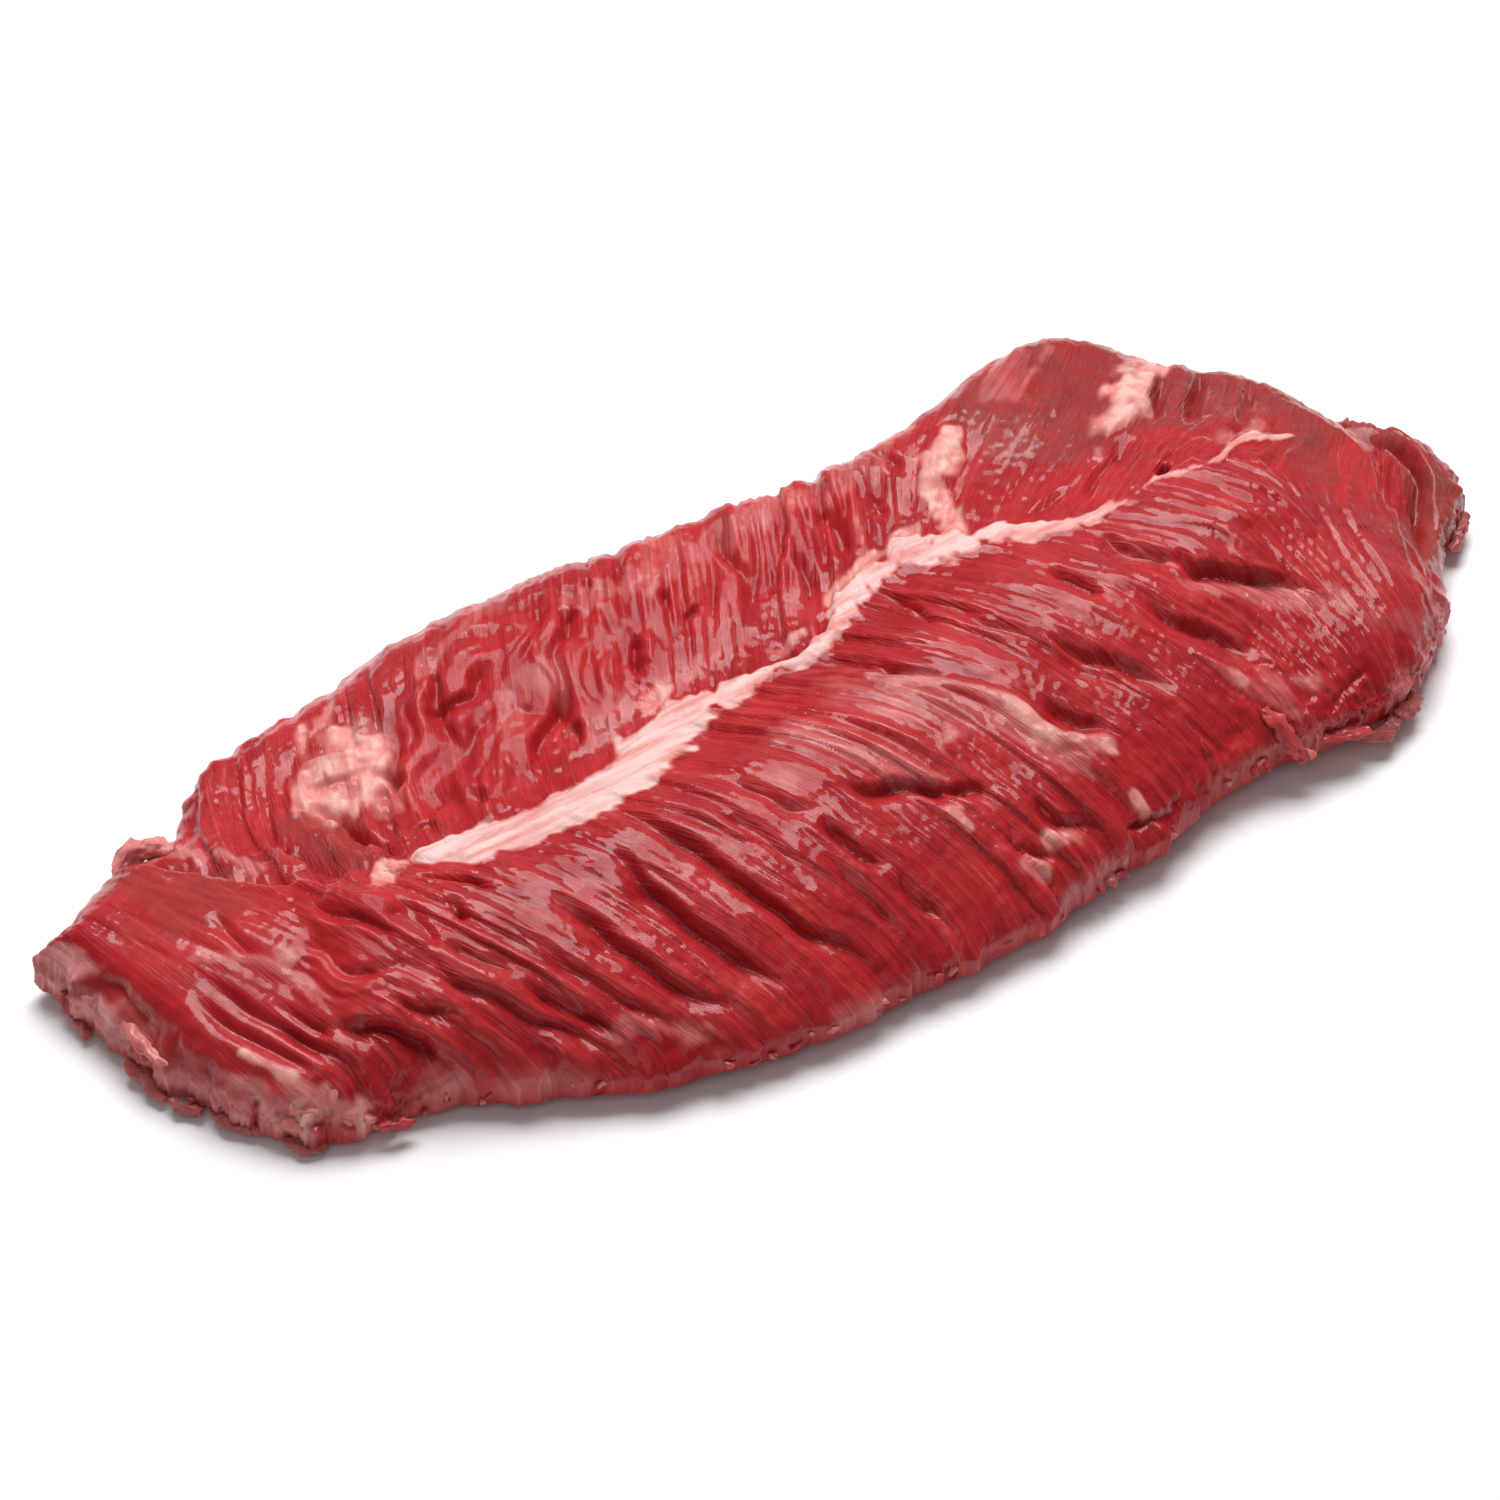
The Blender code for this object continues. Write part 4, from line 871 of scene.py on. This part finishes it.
def along_way(bm, way, width, thickness, seed, fineness):
    """Lays one rounded, uneven scrap along a way, and gives where its corners are across and along it."""
    corners = bmesh.ops.create_icosphere(bm, subdivisions=fineness, radius=1.0)["verts"]
    unit = np.array([v.co[:] for v in corners])
    curve = smooth_curve(way, 40)
    share = (unit[:, 0] + 1) / 2
    behind, middle, ahead = (along_curve(curve, np.clip(share + d, 0, 1)) for d in (-0.04, 0, 0.04))
    forward = ahead - behind
    forward /= np.linalg.norm(forward, axis=1)[:, None]
    sideways = np.cross(forward, (0, 0, 1))
    sideways /= np.linalg.norm(sideways, axis=1)[:, None] + 1e-9
    upward = np.cross(sideways, forward)
    full = (1.02 - unit[:, 0] ** 2) ** -0.2
    out = sideways * (width * full * unit[:, 1])[:, None] + upward * (thickness * full * unit[:, 2])[:, None]
    place = middle + out
    place += out * (SCRAP_SWELL * ripple(place, seed, 5.0, 1.2))[:, None]
    for axis in range(3):
        place[:, axis] += SCRAP_BEND * ripple(place, seed + 1 + axis, 6.0, 2.0)
    place[:, 2] = np.maximum(place[:, 2], 0.1)
    place[:, :2] -= PLAN_CENTRE
    for v, spot in zip(corners, place * MM):
        v.co = spot
    return np.stack([unit[:, 1] * width, share * np.linalg.norm(curve[-1] - curve[0])], -1)


def fringe_ways(form):
    """Short ways for the crumbs and threads along the rim, with their widths and kinds."""
    rng = np.random.default_rng(91)
    found = []
    for side, turn, share in FRINGE_SIDES:
        curve = smooth_curve(side, 300)
        for _ in range(int(FRINGE * share)):
            k = rng.integers(6, 292)
            reach = rng.uniform(*FRINGE_REACH)
            along = (curve[k + 2] - curve[k - 2]) / np.linalg.norm(curve[k + 2] - curve[k - 2])
            outward = turn * np.array([-along[1], along[0]])
            start = curve[k] - outward * rng.uniform(0.4, 1.2)
            z = float(form.at(*start, "rise")[0]) + rng.uniform(-1.2, 1.6)
            tip = start + along * rng.uniform(-1, 1) * reach + outward * rng.uniform(0.4, 1.6)
            bend = (start + tip) / 2 + outward * rng.uniform(0, 0.6)
            way = [(*start, z), (*bend, z), (*tip, max(z - rng.uniform(-0.5, 1.4), 0.5))]
            width = rng.uniform(0.4, 0.95)
            found.append((width, 0.7 * width, (BARE, BARE, PALE, DULL)[rng.integers(4)], way))
    return found


def scraps(name, form):
    """Every torn scrap and crumb at the rim, as one piece of closed shapes."""
    bm = bmesh.new()
    fine = 4
    kinds, places = [], []
    for k, (width, thickness, kind, way) in enumerate(SCRAPS + fringe_ways(form)):
        places.append(along_way(bm, way, width, thickness, 200 + 5 * k, fine if k < len(SCRAPS) else 2))
        kinds.append(np.tile(kind, (len(places[-1]), 1)))
    for face in bm.faces:
        face.smooth = True
    mesh = as_mesh(bm, name)
    store(mesh, "tissue", np.vstack(kinds))
    store(mesh, "surface", np.tile((0, 0, 0, 0.5), (len(mesh.vertices), 1)))
    store_grain(mesh, np.vstack(places))
    return as_object(mesh)


class Nodes:
    """Short names for the nodes that the finishes are made of."""

    def __init__(self, tree):
        self.tree = tree

    def new(self, kind, inputs=(), **settings):
        node = self.tree.nodes.new(kind)
        for key, value in settings.items():
            setattr(node, key, value)
        for key, value in dict(inputs).items():
            self.put(node.inputs[key], value)
        return node

    def put(self, socket, value):
        if isinstance(value, bpy.types.NodeSocket):
            self.tree.links.new(value, socket)
        else:
            socket.default_value = value

    def math(self, operation, a, b):
        return self.new("ShaderNodeMath", {0: a, 1: b}, operation=operation).outputs[0]

    def times(self, first, *others):
        """All the values multiplied."""
        for value in others:
            first = self.math("MULTIPLY", first, value)
        return first

    def mix(self, share, a, b):
        return self.new("ShaderNodeMix", {0: share, 6: a, 7: b}, data_type="RGBA").outputs[2]

    def spread(self, value, low, high, to_low=0.0, to_high=1.0):
        """A smooth rise or fall while the value goes from low to high."""
        ends = {"Value": value, "From Min": low, "From Max": high, "To Min": to_low, "To Max": to_high}
        return self.new("ShaderNodeMapRange", ends, interpolation_type="SMOOTHSTEP").outputs[0]

    def noise(self, vector, scale, detail, roughness, distortion=0.0):
        kind = {"Vector": vector, "Scale": scale, "Detail": detail, "Roughness": roughness,
                "Distortion": distortion}
        return self.new("ShaderNodeTexNoise", kind).outputs[0]


def streak_group():
    """Fibre streaks: a fine and a coarse pattern drawn out along the grain."""
    tree = bpy.data.node_groups.new("fibre streaks", "ShaderNodeTree")
    for name, default in (("Across", 18.0), ("Along", 1.2)):
        socket = tree.interface.new_socket(name, in_out="INPUT", socket_type="NodeSocketFloat")
        socket.default_value = default
    for name in ("Fine", "Coarse"):
        tree.interface.new_socket(name, in_out="OUTPUT", socket_type="NodeSocketFloat")
    n = Nodes(tree)
    given = n.new("NodeGroupInput").outputs
    grain_map = n.new("ShaderNodeUVMap", uv_map="grain")
    parts = n.new("ShaderNodeSeparateXYZ", {"Vector": grain_map.outputs[0]}).outputs
    out = n.new("NodeGroupOutput")
    for socket, factor in zip(out.inputs, (1.0, 0.35)):
        across = n.times(parts["X"], given["Across"], factor)
        along = n.times(parts["Y"], given["Along"], factor)
        where = n.new("ShaderNodeCombineXYZ", {"X": across, "Y": along}).outputs[0]
        n.put(socket, n.noise(where, 1.0, 3.0, 0.6, 0.4))
    return tree


def masks(n):
    """What the finish is mixed by: stored tissues and depths, fibre streaks and the sinew's strands."""
    tissue, surface = (n.new("ShaderNodeAttribute", attribute_name=layer).outputs for layer in LAYERS)
    kinds = n.new("ShaderNodeSeparateColor", {"Color": tissue["Color"]}).outputs
    depths = n.new("ShaderNodeSeparateColor", {"Color": surface["Color"]}).outputs
    here = n.new("ShaderNodeTexCoord").outputs["Object"]
    streaks = n.new("ShaderNodeGroup", node_tree=streak_group()).outputs
    drawn = {"Vector": here, "Rotation": (0.0, 0.0, -0.25), "Scale": (55, 330, 120)}
    return SimpleNamespace(
        here=here, sinew=kinds[0], fat=kinds[1], silver=kinds[2], brown=tissue["Alpha"],
        deep=depths[0], lift=depths[1], dull=depths[2], loose=n.spread(surface["Alpha"], 0.0, 0.75, 1.0, 0.3),
        fine=streaks["Fine"], coarse=streaks["Coarse"], patchy=n.noise(here, 260.0, 2.0, 0.5),
        strand=n.noise(n.new("ShaderNodeMapping", drawn).outputs[0], 1.0, 4.0, 0.6, 0.3),
        soft=n.math("MAXIMUM", kinds[0], kinds[1]))


def muscle_colour(n, m, shade):
    """Red muscle with paler bundles, veins, browned areas, silvery skin, painted highlights on raised tops
    and painted shade in the creases.
    """
    red = n.mix(n.spread(n.noise(m.here, 60.0, 3.0, 0.55), 0.3, 0.7), shade["deep_red"], shade["red"])
    faint = n.times(m.loose, 0.3)
    veins = n.times(n.spread(m.coarse, 0.6, 0.72), n.spread(m.patchy, 0.45, 0.7))
    for name, share in (("light_red_and_highlight", n.times(n.spread(m.coarse, 0.45, 0.75), 0.5)),
                        # Painted highlight: lighter red on the raised tops of the bundles; the streaks above
                        # and below are the muscle's own grain.
                        ("light_red_and_highlight", n.times(n.spread(m.lift, 0.1, 1.0), 0.35)),
                        ("light_red_and_highlight", n.times(n.spread(m.fine, 0.52, 0.7), faint)),
                        ("deep_red", n.times(n.spread(m.fine, 0.48, 0.34), faint)),
                        ("vein", n.times(veins, 0.5)),
                        ("brown", n.times(m.brown, n.spread(m.patchy, 0.2, 0.8, 0.5, 1.0))),
                        ("silver", n.times(m.silver, n.spread(m.coarse, 0.3, 0.7, 0.2, 0.65))),
                        # Painted shade: the crease colour darkens places that lie below their surroundings.
                        ("crease", n.spread(m.deep, 0.12, 1.3, 0.0, 0.6))):
        red = n.mix(share, red, shade[name])
    return red


def meat_colour(n, m, shade):
    """The muscle's colour with the fat's lumps, paler on their raised tops as a painted highlight, and the
    sinew's strands laid over it.
    """
    # Painted highlight: the fat turns paler on the raised tops of its lumps, broken up in random patches.
    tops = n.times(n.spread(m.lift, 0.02, 0.3, 0.2, 1.0), n.spread(m.patchy, 0.3, 0.6, 0.3, 1.0))
    lump = n.mix(tops, shade["fat"], shade["pale_fat"])
    meat = n.mix(n.times(m.fat, 0.92), muscle_colour(n, m, shade), lump)
    cord = n.mix(n.spread(m.strand, 0.38, 0.7), shade["sinew"], shade["blush"])
    meat = n.mix(n.spread(m.sinew, 0.05, 0.5, 0.0, 0.7), meat, shade["blush"])
    return n.mix(n.spread(m.sinew, 0.35, 0.9, 0.0, 0.95), meat, cord)


def meat_height(n, m):
    """Fine relief: streaks along the grain, strands in the sinew, and wrinkles over all."""
    taut = n.spread(n.noise(m.here, 90.0, 2.0, 0.5), 0.4, 0.6, 0.5, 1.0)
    height = n.math("ADD", n.times(m.fine, 1.7), n.times(m.coarse, 1.2))
    height = n.times(height, taut, n.spread(m.dull, 0.0, 1.0, 1.0, 0.3), m.loose,
                     n.spread(m.soft, 0.0, 1.0, 1.0, 0.3))
    height = n.math("ADD", height, n.times(m.strand, m.sinew, 0.8))
    return n.math("ADD", height, n.times(n.noise(m.here, 700.0, 4.0, 0.65), m.loose, 0.3))


def moist_muscle(colours):
    """Moist muscle with its sinew, fat, silvery skin and browned areas, made once."""
    material = bpy.data.materials.get("moist muscle")
    if material:
        return material
    material = bpy.data.materials.new("moist muscle")
    material.use_nodes = True
    n = Nodes(material.node_tree)
    m = masks(n)
    inputs = material.node_tree.nodes["Principled BSDF"].inputs
    shade = {name: tuple(getattr(colours, name)) for name in SteakColours.__annotations__}
    n.put(inputs["Base Color"], meat_colour(n, m, shade))
    wet = n.spread(n.noise(m.here, 140.0, 3.0, 0.6), 0.35, 0.65, 0.3, 0.48)
    n.put(inputs["Roughness"], n.math("ADD", wet, n.times(m.soft, 0.15)))
    film = n.spread(n.noise(m.here, 170.0, 3.0, 0.6), 0.42, 0.58, 0.35, 0.66)
    n.put(inputs["Coat Weight"], n.times(film, n.spread(m.dull, 0.0, 1.0, 1.0, 0.45),
                                         n.spread(m.soft, 0.0, 1.0, 1.0, 0.45)))
    bump = n.new("ShaderNodeBump", {"Strength": 0.8, "Distance": 0.0006, "Height": meat_height(n, m)})
    n.put(inputs["Normal"], bump.outputs[0])
    for name, value in MOIST.items():
        n.put(inputs[name], value)
    return material


def linear(red, green, blue):
    """A colour measured on the screen, as the light that it stands for."""
    screen = [v / 255 for v in (red, green, blue)]
    return tuple(v / 12.92 if v < 0.0404 else ((v + 0.055) / 1.055) ** 2.4 for v in screen)


def colour(name, description, red, green, blue):
    """A colour to choose in the sidebar, with its value on the screen as it starts."""
    return FloatVectorProperty(name=name, description=description, size=4, subtype="COLOR", min=0.0, max=1.0,
                               default=linear(red, green, blue) + (1.0,))


class SteakColours(bpy.types.PropertyGroup):
    red: colour("Red", "Muscle", 182, 38, 42)
    deep_red: colour("Deep red", "Muscle where it is darker", 158, 22, 30)
    # Light red is the muscle's own paler streaks, and also a painted highlight on the raised tops of the
    # bundles.
    light_red_and_highlight: colour("Light red", "Muscle on the tops of its bundles", 202, 62, 62)
    # The crease colour is painted shade for the bottoms of the deep creases.
    crease: colour("Crease", "The bottom of the deep creases", 138, 4, 12)
    brown: colour("Brown", "Muscle browned by the air", 136, 58, 52)
    vein: colour("Vein", "Fine threads between the fibres", 222, 128, 124)
    silver: colour("Silver skin", "Thin skin over the muscle", 220, 142, 138)
    fat: colour("Fat", "Fat in its hollows", 228, 140, 132)
    # Pale fat is a painted highlight on the raised tops of the fat's lumps, patchy at random.
    pale_fat: colour("Pale fat", "Fat on its lumps", 236, 186, 176)
    sinew: colour("Sinew", "The cord along the middle", 228, 197, 192)
    blush: colour("Blush", "Sinew where the muscle shows through", 220, 140, 134)
    floor: colour("Floor", "The plain floor", 250, 250, 251)


class SteakSizes(bpy.types.PropertyGroup):
    map_step: FloatProperty(name="Map step", description="How fine the relief is worked out, in millimetres",
                            default=0.4, min=0.2, max=2.0)
    columns: IntProperty(name="Columns", description="Faces along each half's length", default=328, min=16)
    rows: IntProperty(name="Rows", description="Faces across each half", default=272, min=16)


def finish_piece(piece, context):
    """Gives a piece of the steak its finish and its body."""
    piece.data.materials.append(moist_muscle(context.scene.steak_colours))
    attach(piece, "root")


class STEAK_OT_muscle(bpy.types.Operator):
    """Makes the two halves of the muscle with the sinew and fat grown into them"""
    bl_idname = "steak.muscle"
    bl_label = "Muscle"

    def execute(self, context):
        sizes = context.scene.steak_sizes
        form = form_for(sizes)
        columns, rows = ((sizes.columns, sizes.rows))
        for name, left in (("muscle_left", True), ("muscle_right", False)):
            piece = half(name, left, form, columns, rows)
            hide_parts("steak")
            finish_piece(piece, context)
        return {"FINISHED"}


class STEAK_OT_scraps(bpy.types.Operator):
    """Makes the torn scraps of skin, fat and muscle at the rim"""
    bl_idname = "steak.scraps"
    bl_label = "Scraps"

    def execute(self, context):
        finish_piece(scraps("torn_scraps", form_for(context.scene.steak_sizes)), context)
        return {"FINISHED"}


class STEAK_OT_stage(bpy.types.Operator):
    """Makes the floor, the lights and the camera"""
    bl_idname = "steak.stage"
    bl_label = "Stage"

    camera_turn: FloatProperty(
        name="Camera turn", description="How far to the right of straight in front the camera stands",
        default=math.radians(-35), subtype="ANGLE")
    camera_height: FloatProperty(
        name="Camera height", description="The angle above the table that it looks down from",
        default=math.radians(43), subtype="ANGLE")
    camera_distance: FloatProperty(
        name="Camera distance", description="From the camera to the middle of the steak",
        default=PHOTO_DISTANCE * MM, subtype="DISTANCE")

    def execute(self, context):
        floor(context.scene.steak_colours.floor)
        lights(context.scene)
        a, e = self.camera_turn, self.camera_height
        back = Vector((math.sin(a) * math.cos(e), -math.cos(a) * math.cos(e), math.sin(e)))
        aim = (Vector(CAMERA_AIM) - Vector((*PLAN_CENTRE, 0.0))) * MM
        data = bpy.data.cameras.new("camera")
        data.sensor_width = SENSOR
        data.lens = SENSOR * PIXELS_PER_MM * PHOTO_DISTANCE / PHOTO_WIDTH
        data.clip_start, data.clip_end = 0.01, 50.0
        camera = bpy.data.objects.new("camera", data)
        camera.location = aim + back * self.camera_distance
        camera.rotation_euler = back.to_track_quat("Z", "Y").to_euler()
        context.scene.collection.objects.link(camera)
        context.scene.camera = camera
        return {"FINISHED"}


def floor(shade):
    """A wide plain floor, a hair under the steak."""
    bm = bmesh.new()
    bmesh.ops.create_grid(bm, x_segments=1, y_segments=1, size=6.0)
    bmesh.ops.translate(bm, vec=(0, 0, -0.4 * MM), verts=bm.verts)
    obj = as_object(as_mesh(bm, "floor"))
    material = bpy.data.materials.new("plain floor")
    material.use_nodes = True
    inputs = material.node_tree.nodes["Principled BSDF"].inputs
    inputs["Base Color"].default_value = tuple(shade)
    inputs["Roughness"].default_value = 0.6
    inputs["Specular IOR Level"].default_value = 0.13
    obj.data.materials.append(material)


def lights(scene):
    """A large soft light behind and above, a weaker one in front, and a pale surround."""
    world = bpy.data.worlds.new("pale surround")
    world.use_nodes = True
    background = world.node_tree.nodes["Background"].inputs
    background["Color"].default_value = (1.0, 1.0, 1.0, 1.0)
    background["Strength"].default_value = SURROUND
    scene.world = world
    for name, place, side, power in LAMPS:
        data = bpy.data.lights.new(name, "AREA")
        data.shape, data.size, data.energy = "SQUARE", side, power
        lamp = bpy.data.objects.new(name, data)
        lamp.location = place
        lamp.rotation_euler = Vector(place).to_track_quat("Z", "Y").to_euler()
        scene.collection.objects.link(lamp)
    scene.view_settings.view_transform = "Standard"


class STEAK_PT_panel(bpy.types.Panel):
    """Lists the steak's sizes, colours and pieces in the sidebar"""
    bl_idname = "STEAK_PT_panel"
    bl_label = "Hanger steak"
    bl_space_type = "VIEW_3D"
    bl_region_type = "UI"
    bl_category = "Steak"

    def draw(self, context):
        for group in (context.scene.steak_sizes, context.scene.steak_colours):
            for name in group.__annotations__:
                self.layout.prop(group, name)
        for operator in OPERATORS:
            self.layout.operator(operator.bl_idname)


OPERATORS = (STEAK_OT_muscle, STEAK_OT_scraps, STEAK_OT_stage)
CLASSES = (SteakColours, SteakSizes) + OPERATORS + (STEAK_PT_panel,)


def register():
    for one in CLASSES:
        bpy.utils.register_class(one)
    bpy.types.Scene.steak_colours = bpy.props.PointerProperty(type=SteakColours)
    bpy.types.Scene.steak_sizes = bpy.props.PointerProperty(type=SteakSizes)


def unregister():
    del bpy.types.Scene.steak_sizes
    del bpy.types.Scene.steak_colours
    for one in reversed(CLASSES):
        bpy.utils.unregister_class(one)


def main():
    """Makes every piece and the stage."""
    register()
    bpy.ops.steak.muscle()
    bpy.ops.steak.scraps()
    bpy.ops.steak.stage()


if __name__ == "__main__":
    main()
